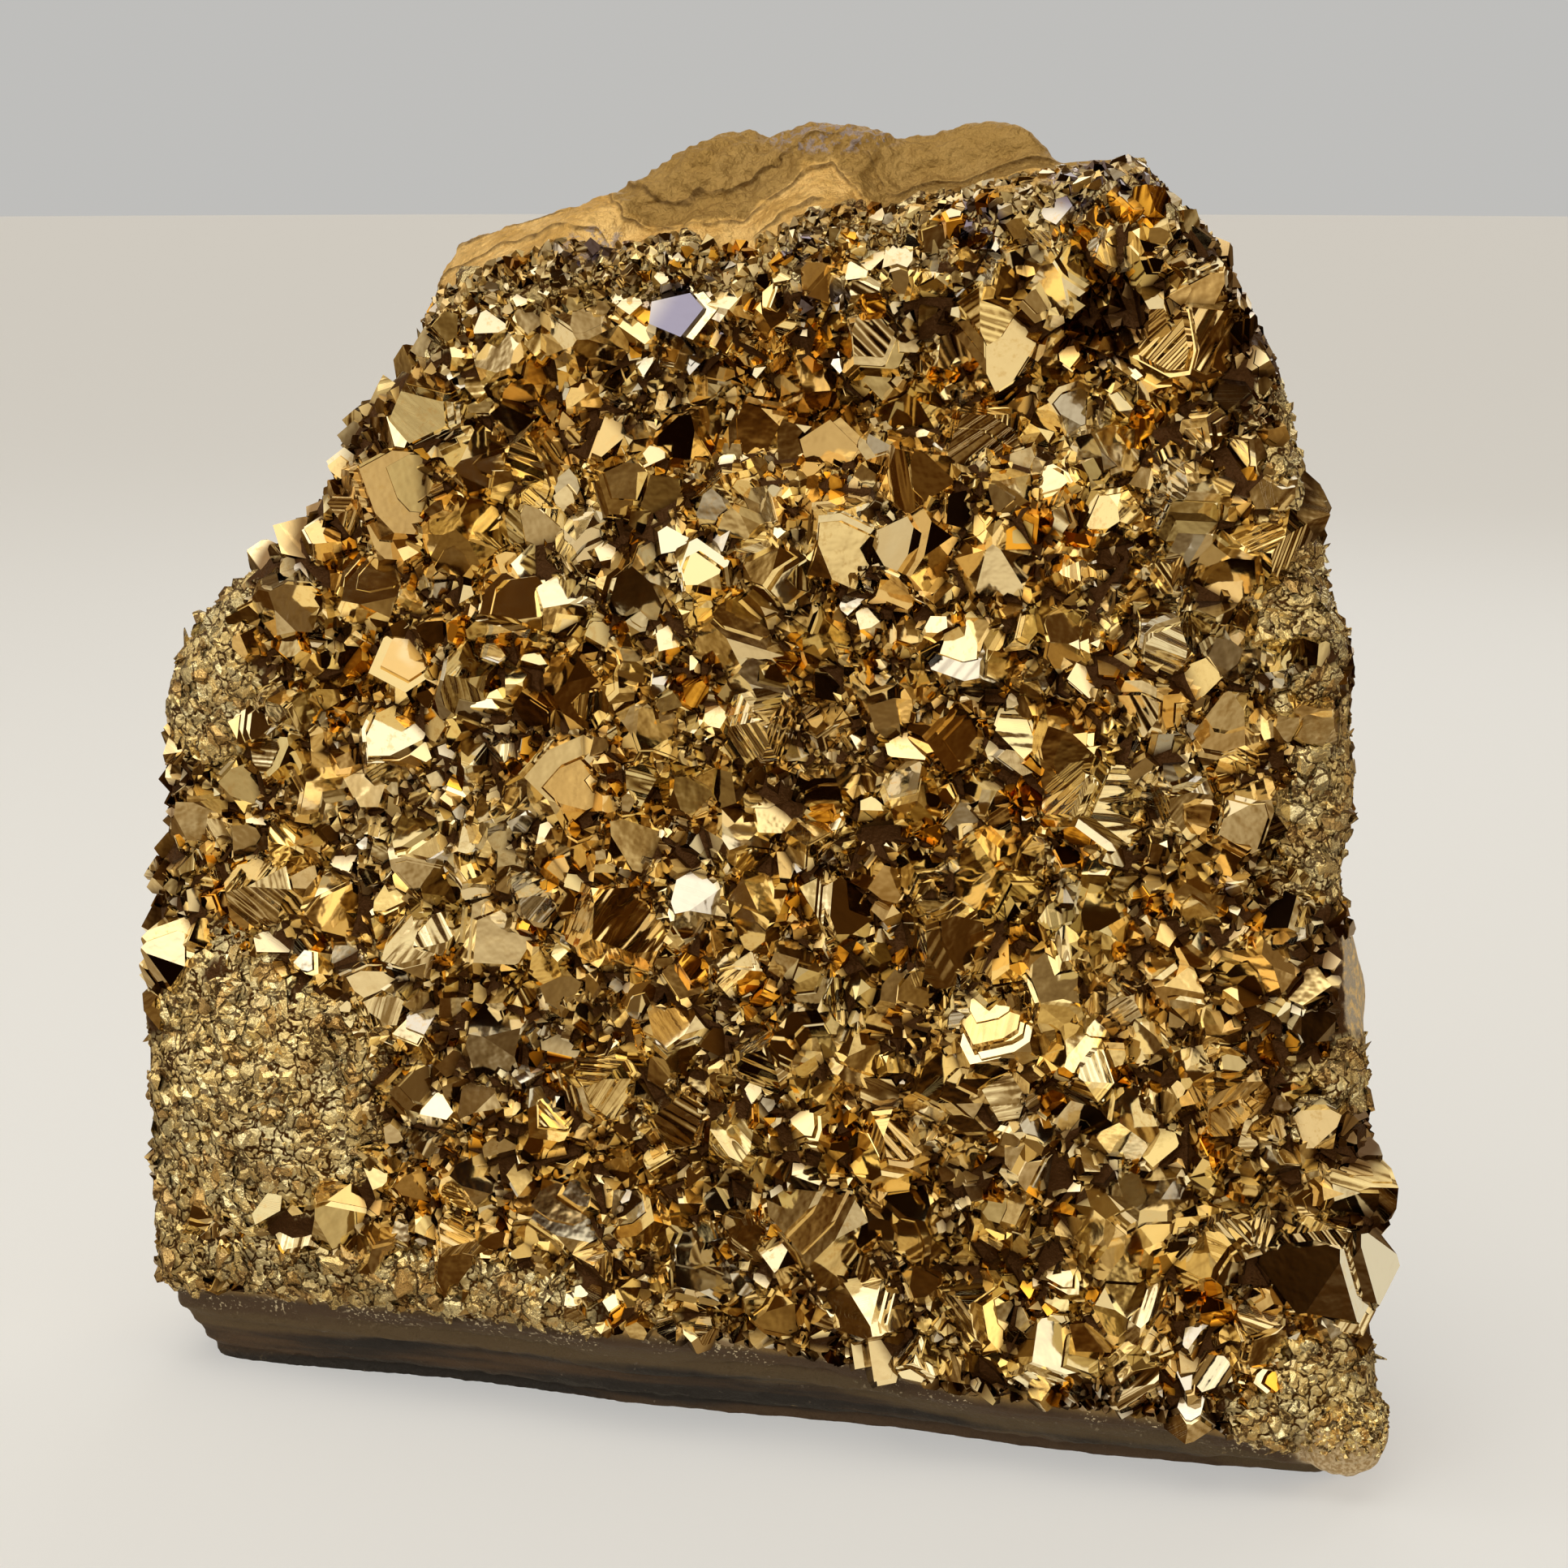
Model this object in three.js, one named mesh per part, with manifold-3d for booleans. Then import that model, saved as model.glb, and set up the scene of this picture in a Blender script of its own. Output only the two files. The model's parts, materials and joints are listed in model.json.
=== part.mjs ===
// A free-standing piece of amethyst geode wall with a metal-vapour ("aura") coat.
// It is one stone: a wedge of host rock that stands on a sawn base, whose front is grown
// over with quartz points. Millimetres, +Z up, crystal side towards -Y.
import * as THREE from 'three';
import { mergeVertices } from 'three/addons/utils/BufferGeometryUtils.js';
import Module from 'manifold-3d';

const { seededRandom, smoothstep, degToRad } = THREE.MathUtils;

// ---- driving dimensions -------------------------------------------------------------
const SEED = 41;
const ROCK_HEART = new THREE.Vector3(-2, 6.5, 70);
const ROCK_STRETCH = new THREE.Vector3(75, 24, 76); // the ball that the rock starts from, flattened
const ROCK_CORE = 0.72; // its rays start on a flat core of this share of the ball's width
const ROCK_DETAIL = 9; // how finely the ball is divided

// Side view: the crystal face leans back from the foot, the back leans forward.
const HALF_SPAN = 78; // from the middle to either side
const FACE_Y = -22;
const FACE_LEAN = 0.13;
const FACE_CROWN = 5; // how far the middle stands in front of the two sides
const BACK_Y = 33;
const BACK_LEAN = 0.13;
const BACK_CROWN = 9; // the same for the back
const SIDE_TAPER = 0.25; // sides close in towards the back
const RIM_ROUND = 9; // width over which the sides round into the front and the back
const EDGE_ROUND = 3; // the same at the brow and the heel

// A swelling of bare host rock on the right flank, and its middle and radius.
const SWELLING = { y: 6, z: 52, radius: 9, height: 2.5 };

// The rounded knob of bare rock at the right foot: its middle, and half its width each way.
const KNOB_MIDDLE = new THREE.Vector3(71.2, -14.5, 3.4);
const KNOB_REACH = new THREE.Vector3(5, 6.2, 4.7);
const KNOB_DETAIL = 3;

// Front view of the host rock, x and z, from the left foot round over the top.
const ROCK_OUTLINE = [
  [-74.5, -12], [-77, -4], [-81.2, 2], [-83.8, 9], [-84.2, 20], [-84.8, 38], [-84.6, 52], [-84.2, 66],
  [-83.9, 78], [-82.6, 88.5], [-71.3, 99], [-64.3, 106.6], [-59.3, 112], [-56.8, 119.3], [-51.6, 124.5],
  [-47.3, 133], [-46.6, 141.3], [-37, 144.8], [-30, 146.9], [-22, 151.8], [-14, 159.8], [-5, 163],
  [3, 163.3], [10, 162.4], [16, 162.2], [22, 163.4], [26, 159], [32, 151.3], [41.5, 152.4],
  [45.8, 147.8], [51.9, 141.2], [58, 130.9], [62, 118.5], [64.9, 106], [68.7, 94.5], [69.8, 84],
  [69.2, 66], [70.6, 57], [72.6, 49], [72.4, 43], [74.2, 37], [76, 31], [75, 22], [75, 13], [76, 6], [75.5, 0],
  [72, -5], [71, -12],
];

// Where the bare brow begins, above the crystals, and where the banded heel begins, below.
const BROW_LINE = [
  [-50, 131], [-43, 134.5], [-36, 137.4], [-28, 140], [-22, 139.4], [-12, 141], [-6, 139.3],
  [3, 143.6], [7, 144.6], [11, 143.8], [18, 145.8], [25, 147.3], [31, 149], [48, 151],
];
const HEEL_LINE = [
  [-80, 6.3], [-50, 8.3], [-8, 8.8], [15, 6.8], [28, 4.8], [50, 4.4], [59, 3.2], [71, 0], [80, -1],
];
const FOOT = -4; // the stone is sawn off flat this far under the front view's own zero
const FOOT_FRONT = -12.8; // front edge of the sawn base, behind the overhanging crystals

// Soft mounds and hollows of the crystal face: x, z, half width, half height, depth (+ is back).
const FACE_RELIEF = [
  [2, 121, 34, 9, 7], [34, 124, 16, 7, 3], [-66, 31, 17, 24, -3], [-70, 86, 12, 12, -2.5],
  [-8, 62, 22, 12, -2], [30, 40, 26, 14, -2.5], [-52, 58, 9, 8, 3], [6, 88, 6, 9, 2.5],
];

// Patches where the druse stays fine grained: x, z, half width, half height.
const FINE_PATCHES = [
  [-67, 33, 19, 20], [-75, 88, 9, 14], [63, 112, 7, 26], [67, 76, 6, 12], [70, 6, 11, 10],
  [-44, 11, 36, 5], [71, 45, 8, 5], [-80, 12, 9, 9],
];
const FINE_LIMIT = 0.5; // fineness beyond which no large point stands

// Quartz habit: rhombohedral faces lie at 51.8 degrees to the long axis' cross-section.
const POINT_ANGLE = degToRad(51.8);
const SHAPES = 14; // different crystal shapes that the points are copied from
const ROOT_LENGTH = 0.9; // of a crystal of half-width 1, below its shoulder
const SINK = 0.32; // of the half-width: how deep a point's shoulder lies under the skin
const RIM_SINK = 0.75; // the same round the rim, where the points stay short
const RIM_FROM = 0.5; // the rim begins this far behind the crystal face
const RIM_TO = 4; // and is at its full here
const TILT_SPREAD = 0.32; // the most that a point leans, as a share of its length

const RIM_ROOM = 1; // how far in from the outline it stands, over its half-width
const WRAP = 1.5; // how far the points reach back round the rim of the face
const FOOTING = 0.7; // of the half-width: room a point needs below the brow and above the heel

// Sizes of points, half-width in millimetres: least, most, how many tries, and spacing.
const POINT_CLASSES = [
  { least: 5.6, most: 7.2, tries: 1200, spacing: 0.66 },
  { least: 4.2, most: 5.4, tries: 3000, spacing: 0.66 },
];

// The largest points: x, z, half-width, spin and lean of the axis to the right and up.
const LARGE_POINTS = [
  [-17, 58, 7.4, 0.3, 0.05, 0.1], [8, 51, 6.7, 1.1, 0.15, 0.1], [23, 42, 6, 0.5, -0.25, 0.05],
  [45, 28, 7.7, 0.2, -0.05, 0.15], [59, 30, 6.2, 0.9, 0.1, 0.2], [72.5, 32.5, 5.6, 0.4, 0.5, 0],
  [69, 24.5, 7, 0.52, 0.25, 0.8], [40, 76, 6.7, 0.7, 0, -0.1], [25, 128, 6.5, 0.6, 0.1, -0.4],
  [48, 128, 7, 1.5, 0.2, -0.1], [56, 105, 6.5, 0, 0.25, 0], [27, 104, 6.7, 1.2, 0, 0.2],
  [8, 107, 7, 0.9, -0.1, 0.25], [-45, 120, 6, 0.1, -0.35, 0.3], [-50, 110, 6.7, 0.8, -0.3, 0.35],
  [-31, 115, 5.8, 0.35, 0, 0.3], [-17, 101, 6, 0.6, 0.2, 0.3], [-4, 94, 6.5, 1.4, -0.2, 0.3],
  [7, 95, 5.3, 0.15, 0.1, 0.2], [-26, 76, 7.2, 1, -0.15, 0.1], [-25, 130, 6.7, 0.5, 0.1, 0.2],
  [28, 66, 7.2, 0.25, 0.1, 0.05], [22, 60, 6.5, 1, -0.2, 0.2], [-12, 117, 6, 0.75, 0.15, 0],
  [46, 88, 5.5, 0.55, 0.15, 0.2], [-44, 66, 6.2, 1.2, -0.1, 0.05], [-57, 57, 7.2, 0.3, -0.1, -0.15],
  [-35, 55, 6.7, 0.9, 0, -0.2], [-38, 16, 5.8, 0.2, -0.1, 0.1], [9, 25, 7.2, 0.65, -0.05, -0.1],
  [-12, 23, 6, 0.1, 0.25, 0.15], [-8, 16, 7.2, 1.35, -0.1, -0.1], [-21, 38, 6.7, 0.45, -0.1, 0],
  [-45, 36, 5.5, 1.1, -0.1, 0.1], [-54, 21, 6, 0.7, -0.2, 0.2], [29, 15, 5.8, 0.35, 0.05, 0.2],
  [62, 110, 6, 0.9, 0.4, -0.1], [-31, 107, 5.3, 0.6, -0.1, 0.2], [-66, 58, 6.5, 1.3, -0.35, -0.1],
];

// ---- helpers ------------------------------------------------------------------------
function alongLine(line, x) {
  let i = 1;
  while (i < line.length - 1 && x > line[i][0]) i += 1;
  const [x0, z0] = line[i - 1];
  const [x1, z1] = line[i];
  return z0 + ((z1 - z0) * (x - x0)) / (x1 - x0);
}

// The larger of two fields, with their meeting line rounded over a width.
function roundedMax(a, b, width) {
  const near = Math.max(width - Math.abs(a - b), 0) / width;
  return Math.max(a, b) + (near * near * width) / 4;
}

// Distance to the rock's outline in the front view, negative inside.
function outlineDistance(x, z) {
  let nearest = Infinity;
  let inside = false;
  ROCK_OUTLINE.forEach(([bx, bz], i) => {
    const [ax, az] = ROCK_OUTLINE[(i + ROCK_OUTLINE.length - 1) % ROCK_OUTLINE.length];
    const share = ((x - ax) * (bx - ax) + (z - az) * (bz - az)) / ((bx - ax) ** 2 + (bz - az) ** 2);
    const t = Math.min(1, Math.max(0, share));
    nearest = Math.min(nearest, Math.hypot(x - ax - t * (bx - ax), z - az - t * (bz - az)));
    if (az > z !== bz > z && x < ax + ((z - az) / (bz - az)) * (bx - ax)) inside = !inside;
  });
  return inside ? -nearest : nearest;
}

function mound(x, z, [cx, cz, halfWidth, halfHeight]) {
  return Math.exp(-(((x - cx) / halfWidth) ** 2) - ((z - cz) / halfHeight) ** 2);
}

// 1 in the fine-grained patches, 0 where the points grow large.
function fineness(x, z) {
  return smoothstep(Math.max(...FINE_PATCHES.map((patch) => mound(x, z, patch))), 0.3, 0.5);
}

// ---- the host rock ------------------------------------------------------------------
function faceDepth(x, z) {
  const swells = 1.1 * Math.sin(x / 13 + 0.6) * Math.sin(z / 11 + 1);
  const ripples = 0.6 * Math.sin(x / 5.7 + z / 8.3);
  const relief = FACE_RELIEF.reduce((sum, row) => sum + row[4] * mound(x, z, row), 0);
  return FACE_Y + FACE_LEAN * z + FACE_CROWN * (x / HALF_SPAN) ** 2 + swells + ripples + relief;
}

function backDepth(x, z) {
  const lumps = 4 * Math.sin(x / 14 + 1.3) * Math.sin(z / 15 + 0.4);
  const knobs = 2 * Math.sin(x / 8.3 - 1) * Math.cos(z / 9.1);
  return BACK_Y - BACK_LEAN * z - BACK_CROWN * (x / HALF_SPAN) ** 2 + lumps + knobs;
}

// The bare brow is a conchoidal break that runs back at 45 degrees in shallow curved ledges.
function browField(x, y, z) {
  const rise = z - alongLine(BROW_LINE, x);
  const run = y - faceDepth(x, z);
  const flow = rise + 0.22 * (x - 12) * Math.sin(x / 21 + 0.5) + 1.6 * Math.sin(x / 6.3);
  const ledges = 0.9 * Math.sin(flow / 1.9) + 1.1 * Math.sin(x / 9.1 + z / 13);
  return (rise - run) * Math.SQRT1_2 + ledges;
}

// The heel shows the geode wall's layers edge on, and runs back under the crystals.
function heelField(x, y, z) {
  const line = alongLine(HEEL_LINE, x);
  const edge = faceDepth(x, line);
  const recess = FOOT_FRONT - edge;
  const height = line - FOOT;
  const layers = 0.35 * Math.sin(z * 1.7) + 0.5 * Math.sin(x / 8.7);
  return ((line - z) * recess + (edge - y) * height) / Math.hypot(recess, height) + layers;
}

function swelling(x, y, z) {
  if (x < 0) return 0;
  const off = Math.hypot(y - SWELLING.y, z - SWELLING.z) / SWELLING.radius;
  return SWELLING.height * Math.exp(-(off ** 2));
}

// Negative inside the rock.
function rockField({ x, y, z }) {
  const front = faceDepth(x, z) - y;
  const knobs = 0.8 * Math.sin(y / 4.1 + z / 6.7) * Math.sin(z / 5.3 - x / 11);
  const taper = SIDE_TAPER * Math.min(0, front);
  const sides = outlineDistance(x, z) - taper - swelling(x, y, z) + knobs;
  const shell = roundedMax(roundedMax(sides, front, RIM_ROUND), y - backDepth(x, z), RIM_ROUND);
  return roundedMax(roundedMax(shell, browField(x, y, z), EDGE_ROUND), heelField(x, y, z), EDGE_ROUND);
}

const FARTHEST_SKIN = 120; // longer than any way out of the rock
const HALVINGS = 20; // of that length, which find the skin to a thousandth
const NORMAL_STEP = 0.8; // over which the skin's slope is taken

// Where a ray that starts inside the rock comes out.
function skinAlong(start, ray) {
  let near = 0;
  let far = FARTHEST_SKIN;
  for (let step = 0; step < HALVINGS; step += 1) {
    const middle = (near + far) / 2;
    if (rockField(start.clone().addScaledVector(ray, middle)) < 0) near = middle;
    else far = middle;
  }
  return start.clone().addScaledVector(ray, near);
}

// The skin over a direction from the heart; the ray starts on the flat core under it.
function skinTowards(direction) {
  const ball = direction.clone().multiply(ROCK_STRETCH);
  const core = new THREE.Vector3(ROCK_CORE * ball.x, 0, ROCK_CORE * ball.z);
  return skinAlong(core.clone().add(ROCK_HEART), ball.sub(core).normalize());
}

// The skin of the crystal face at a place in the front view.
function skinInFront(x, z) {
  return skinAlong(new THREE.Vector3(x, ROCK_HEART.y, z), new THREE.Vector3(0, -1, 0));
}

function skinNormal({ x, y, z }) {
  const d = NORMAL_STEP;
  return new THREE.Vector3(
    rockField({ x: x + d, y, z }) - rockField({ x: x - d, y, z }),
    rockField({ x, y: y + d, z }) - rockField({ x, y: y - d, z }),
    rockField({ x, y, z: z + d }) - rockField({ x, y, z: z - d }),
  ).normalize();
}

function rockGeometry() {
  const ball = new THREE.IcosahedronGeometry(1, ROCK_DETAIL);
  const position = ball.getAttribute('position');
  for (let i = 0; i < position.count; i += 1) {
    position.setXYZ(i, ...skinTowards(new THREE.Vector3().fromBufferAttribute(position, i)));
  }
  return ball;
}

// A ball pushed out a little towards the corners of the box around it.
function knobGeometry() {
  const ball = new THREE.IcosahedronGeometry(1, KNOB_DETAIL);
  const corners = ball.getAttribute('position');
  for (let i = 0; i < corners.count; i += 1) {
    const way = new THREE.Vector3().fromBufferAttribute(corners, i);
    const fullness = Math.abs(way.x) ** 3 + Math.abs(way.y) ** 3 + Math.abs(way.z) ** 3;
    way.multiplyScalar(fullness ** (-1 / 3));
    corners.setXYZ(i, way.x, way.y, way.z);
  }
  return ball.scale(...KNOB_REACH).translate(...KNOB_MIDDLE);
}

// ---- solids -------------------------------------------------------------------------
const wasm = await Module();
wasm.setup();

function solidFrom(geometry) {
  const bare = geometry.clone();
  bare.deleteAttribute('normal');
  bare.deleteAttribute('uv');
  const merged = mergeVertices(bare, 1e-3);
  return new wasm.Manifold(
    new wasm.Mesh({
      numProp: 3,
      vertProperties: new Float32Array(merged.attributes.position.array),
      triVerts: new Uint32Array(merged.index.array),
    }),
  );
}

function geometryFrom(solid) {
  const { numProp, numVert, vertProperties, triVerts } = solid.getMesh();
  const corners = new Float32Array(numVert * 3);
  for (let i = 0; i < numVert; i += 1) {
    corners.set(vertProperties.subarray(i * numProp, i * numProp + 3), i * 3);
  }
  const geometry = new THREE.BufferGeometry();
  geometry.setAttribute('position', new THREE.BufferAttribute(corners, 3));
  geometry.setIndex(new THREE.BufferAttribute(new Uint32Array(triVerts), 1));
  return geometry;
}

// ---- idle corners -------------------------------------------------------------------
const FLAT = 1 - 1e-5; // cosine between the normals of triangles that lie in one plane
const IN_LINE = 0.002; // millimetres off a straight edge
const SAME_WAY = 0.01; // radians that a face may turn when its corner is drawn along

// The directions a corner's faces look in: one for each plane that meets there.
function planesAround(faces, corners) {
  const planes = [];
  for (const face of faces) {
    const [a, b, c] = face.map((i) => corners[i]);
    const normal = b.clone().sub(a).cross(c.clone().sub(a)).normalize();
    if (!planes.some((plane) => plane.dot(normal) > FLAT)) planes.push(normal);
  }
  return planes;
}

// Whether a face still looks the same way once one of its corners has moved.
function keepsFacing(face, from, to, corners) {
  const [a, b, c] = face.map((i) => corners[i]);
  const [p, q, r] = face.map((i) => corners[i === from ? to : i]);
  const before = b.clone().sub(a).cross(c.clone().sub(a));
  const after = q.clone().sub(p).cross(r.clone().sub(p));
  return after.dot(before) > 1e-3 * before.length() && after.angleTo(before) < SAME_WAY;
}

function neighbours(corner, faces) {
  return new Set(faces.flat().filter((i) => i !== corner));
}

// The end of a straight edge that an idle corner can be drawn to, or -1 if it shapes the solid.
function drawnTo(corner, around, corners) {
  const faces = [...around[corner]];
  const planes = planesAround(faces, corners);
  if (planes.length !== 2) return -1;
  const edge = planes[0].clone().cross(planes[1]).normalize();
  const ring = [...neighbours(corner, faces)];
  const along = ring.filter((i) => {
    const reach = corners[i].clone().sub(corners[corner]);
    return reach.clone().cross(edge).length() < IN_LINE + 1e-4 * reach.length();
  });
  if (along.length !== 2) return -1;
  const [one, other] = along.map((i) => corners[i].clone().sub(corners[corner]).dot(edge));
  if (one * other >= 0) return -1;
  const fits = (end) => {
    const shared = [...neighbours(end, [...around[end]])].filter((i) => ring.includes(i));
    const left = faces.filter((face) => !face.includes(end));
    return shared.length === 2 && left.every((face) => keepsFacing(face, corner, end, corners));
  };
  return along.find(fits) ?? -1;
}

// Corners that lie in line on a straight edge shape nothing, so each is drawn to the edge's end.
function withoutIdleCorners(geometry) {
  const position = geometry.getAttribute('position');
  const corners = [];
  for (let i = 0; i < position.count; i += 1) {
    corners.push(new THREE.Vector3().fromBufferAttribute(position, i));
  }
  const around = corners.map(() => new Set());
  const index = geometry.index.array;
  for (let i = 0; i < index.length; i += 3) {
    const face = [index[i], index[i + 1], index[i + 2]];
    face.forEach((corner) => around[corner].add(face));
  }
  corners.forEach((_, corner) => {
    const end = drawnTo(corner, around, corners);
    if (end < 0) return;
    for (const face of around[corner]) {
      if (face.includes(end)) {
        face.forEach((i) => i !== corner && around[i].delete(face));
      } else {
        face[face.indexOf(corner)] = end;
        around[end].add(face);
      }
    }
    around[corner].clear();
  });
  const faces = [...new Set(around.flatMap((set) => [...set]))];
  const tidied = new THREE.BufferGeometry().setAttribute('position', position);
  return tidied.setIndex(faces.flat());
}

// ---- crystals -----------------------------------------------------------------------
const HALF_WIDTH = 1;
const TIP = HALF_WIDTH * Math.tan(POINT_ANGLE); // above the shoulder
const TIP_SHIFT = 0.3; // the most that a tip lies off the axis
const FACE_REACH = 3; // beyond the prism, so that only the point's faces cut it

// Three of the point's faces: a three-sided pyramid whose tip is at the given place.
function threeFaces(turn, tip) {
  const height = FACE_REACH * Math.tan(POINT_ANGLE);
  const pyramid = new THREE.ConeGeometry(2 * FACE_REACH, height, 3);
  return pyramid.rotateY(turn).translate(tip.x, tip.y - height / 2, tip.z);
}

// A quartz point of half-width 1, long axis +Y, shoulder at y = 0: a six-sided prism with
// three large faces on top, and three small ones turned 60 degrees between them.
function crystalShape() {
  const corner = HALF_WIDTH / Math.cos(Math.PI / 6);
  const prism = new THREE.CylinderGeometry(corner, corner, TIP + ROOT_LENGTH, 6);
  prism.translate(0, (TIP - ROOT_LENGTH) / 2, 0);
  const tip = new THREE.Vector3(seededRandom() - 0.5, 0, seededRandom() - 0.5);
  tip.multiplyScalar(TIP_SHIFT).setY(TIP);
  const smallTip = tip.clone().setY(TIP + 0.12 + 0.6 * seededRandom());
  const large = solidFrom(threeFaces(Math.PI / 6, tip));
  const small = solidFrom(threeFaces(Math.PI / 2, smallTip));
  const widen = 0.85 + 0.35 * seededRandom();
  return geometryFrom(solidFrom(prism).intersect(large).intersect(small)).scale(widen, 1, 1 / widen);
}

// One point: its root on the rock's skin, its half-width, and the way it leans.
function makePoint(root, halfWidth, spin, lean, shape) {
  const axis = skinNormal(root).add(lean).normalize();
  const onRim = smoothstep(root.y - faceDepth(root.x, root.z), RIM_FROM, RIM_TO);
  const sink = (SINK + (RIM_SINK - SINK) * onRim) * halfWidth;
  return { root, halfWidth, spin, axis, sink, shape };
}

function placeLargePoints() {
  return LARGE_POINTS.map(([x, z, halfWidth, spin, right, up], i) => {
    const root = skinInFront(x, z);
    return makePoint(root, halfWidth, spin, new THREE.Vector3(right, 0, up), i % SHAPES);
  });
}

// Whether a place on the skin is druse ground that can bear a point of this half-width.
function bearsPoint({ x, y, z }, halfWidth) {
  const room = FOOTING * halfWidth;
  if (y > faceDepth(x, z) + WRAP || fineness(x, z) > FINE_LIMIT) return false;
  if (outlineDistance(x, z) > -RIM_ROOM * halfWidth) return false;
  return z < alongLine(BROW_LINE, x) - room && z > alongLine(HEEL_LINE, x) + room;
}

// Further points, largest class first, each on free ground.
function scatterPoints(points) {
  for (const { least, most, tries, spacing } of POINT_CLASSES) {
    for (let i = 0; i < tries; i += 1) {
      const height = 2 * seededRandom() - 1;
      const turn = Math.PI * (1 + seededRandom());
      const halfWidth = least + (most - least) * seededRandom();
      const spin = 2 * Math.PI * seededRandom();
      const lean = new THREE.Vector3(seededRandom() - 0.5, 0, seededRandom() - 0.5);
      const shape = Math.floor(SHAPES * seededRandom());
      const level = Math.sqrt(1 - height * height);
      const way = new THREE.Vector3(level * Math.cos(turn), level * Math.sin(turn), height);
      const root = skinTowards(way);
      const free = points.every(
        (other) => other.root.distanceTo(root) > spacing * (other.halfWidth + halfWidth),
      );
      if (!free || !bearsPoint(root, halfWidth)) continue;
      points.push(makePoint(root, halfWidth, spin, lean.multiplyScalar(2 * TILT_SPREAD), shape));
    }
  }
  return points;
}

function pointGeometry({ root, halfWidth, spin, axis, sink, shape }, shapes) {
  const upright = new THREE.Vector3(0, 1, 0);
  const turn = new THREE.Quaternion().setFromUnitVectors(upright, axis);
  turn.multiply(new THREE.Quaternion().setFromAxisAngle(upright, spin));
  const place = root.clone().addScaledVector(axis, -sink);
  const size = new THREE.Vector3(halfWidth, halfWidth, halfWidth);
  return shapes[shape].clone().applyMatrix4(new THREE.Matrix4().compose(place, turn, size));
}

// The stone: host rock and points grown into one, sawn off flat at the foot.
function druseSolid() {
  seededRandom(SEED);
  const shapes = Array.from({ length: SHAPES }, crystalShape);
  const points = scatterPoints(placeLargePoints());
  const grown = wasm.Manifold.union([
    solidFrom(rockGeometry()),
    solidFrom(knobGeometry()),
    ...points.map((point) => solidFrom(pointGeometry(point, shapes))),
  ]);
  const floor = new THREE.BoxGeometry(400, 400, 100).translate(0, 0, FOOT - 50);
  const stone = grown.subtract(solidFrom(floor)).decompose();
  return stone.reduce((whole, piece) => (piece.volume() > whole.volume() ? piece : whole));
}

// ---- the part -----------------------------------------------------------------------
const goldAura = new THREE.MeshStandardMaterial({
  color: 0xc79a4b,
  roughness: 0.25,
  metalness: 0.9,
  flatShading: true,
});

const stoneGeometry = withoutIdleCorners(geometryFrom(druseSolid()));
stoneGeometry.computeBoundingBox();
const { min, max } = stoneGeometry.boundingBox;
const druse = new THREE.Mesh(stoneGeometry, goldAura);
druse.name = 'amethyst_druse';
// The part's origin is the middle of its footprint box, on the floor.
druse.position.set(-(min.x + max.x) / 2, -(min.y + max.y) / 2, -min.z);

const part = new THREE.Group();
part.add(druse);
export default part;
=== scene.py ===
"""The look of a gold-coated amethyst druse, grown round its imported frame.

The stone is laid out in its own millimetres, with the crystal side towards -Y, and is put in
the frame's place at the end of each piece's making.
"""
import json
import math

import bmesh
import bpy
import numpy as np
from mathutils import Matrix, Quaternion, Vector, noise

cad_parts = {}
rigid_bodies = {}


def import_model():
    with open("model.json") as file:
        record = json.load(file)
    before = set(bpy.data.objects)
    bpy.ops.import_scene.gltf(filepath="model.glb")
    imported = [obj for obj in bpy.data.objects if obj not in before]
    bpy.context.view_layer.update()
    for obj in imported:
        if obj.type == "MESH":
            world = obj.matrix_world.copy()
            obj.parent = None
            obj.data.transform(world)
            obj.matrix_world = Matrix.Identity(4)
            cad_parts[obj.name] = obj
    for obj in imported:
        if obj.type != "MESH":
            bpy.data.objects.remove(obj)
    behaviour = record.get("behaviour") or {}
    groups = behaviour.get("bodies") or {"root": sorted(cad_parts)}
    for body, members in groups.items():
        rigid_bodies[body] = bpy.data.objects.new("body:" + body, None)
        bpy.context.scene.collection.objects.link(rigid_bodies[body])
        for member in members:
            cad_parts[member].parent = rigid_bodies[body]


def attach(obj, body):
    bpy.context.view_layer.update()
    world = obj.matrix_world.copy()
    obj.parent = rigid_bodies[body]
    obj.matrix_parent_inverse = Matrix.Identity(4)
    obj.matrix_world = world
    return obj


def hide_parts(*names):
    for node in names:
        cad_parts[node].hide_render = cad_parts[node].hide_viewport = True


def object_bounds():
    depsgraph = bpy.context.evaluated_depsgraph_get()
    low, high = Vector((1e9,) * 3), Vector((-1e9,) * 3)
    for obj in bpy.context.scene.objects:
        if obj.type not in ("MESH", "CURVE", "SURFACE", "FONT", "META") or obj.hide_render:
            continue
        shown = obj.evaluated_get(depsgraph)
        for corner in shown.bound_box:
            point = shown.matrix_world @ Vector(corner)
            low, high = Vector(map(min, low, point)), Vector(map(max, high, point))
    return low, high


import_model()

bl_info = {
    "name": "Gold aura druse",
    "version": (1, 0, 0),
    "blender": (4, 5, 0),
    "location": "3D View > Sidebar > Druse",
    "description": "Grows a free-standing piece of gold-coated amethyst druse",
    "category": "Add Mesh",
}

MM = 0.001
CAD_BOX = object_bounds()
STONE_CORNER = (-83.225, -26.434, -4.0)  # the stone's lowest corner in its own millimetres
SHIFT = np.array([CAD_BOX[0][i] / MM - STONE_CORNER[i] for i in range(3)])

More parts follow.
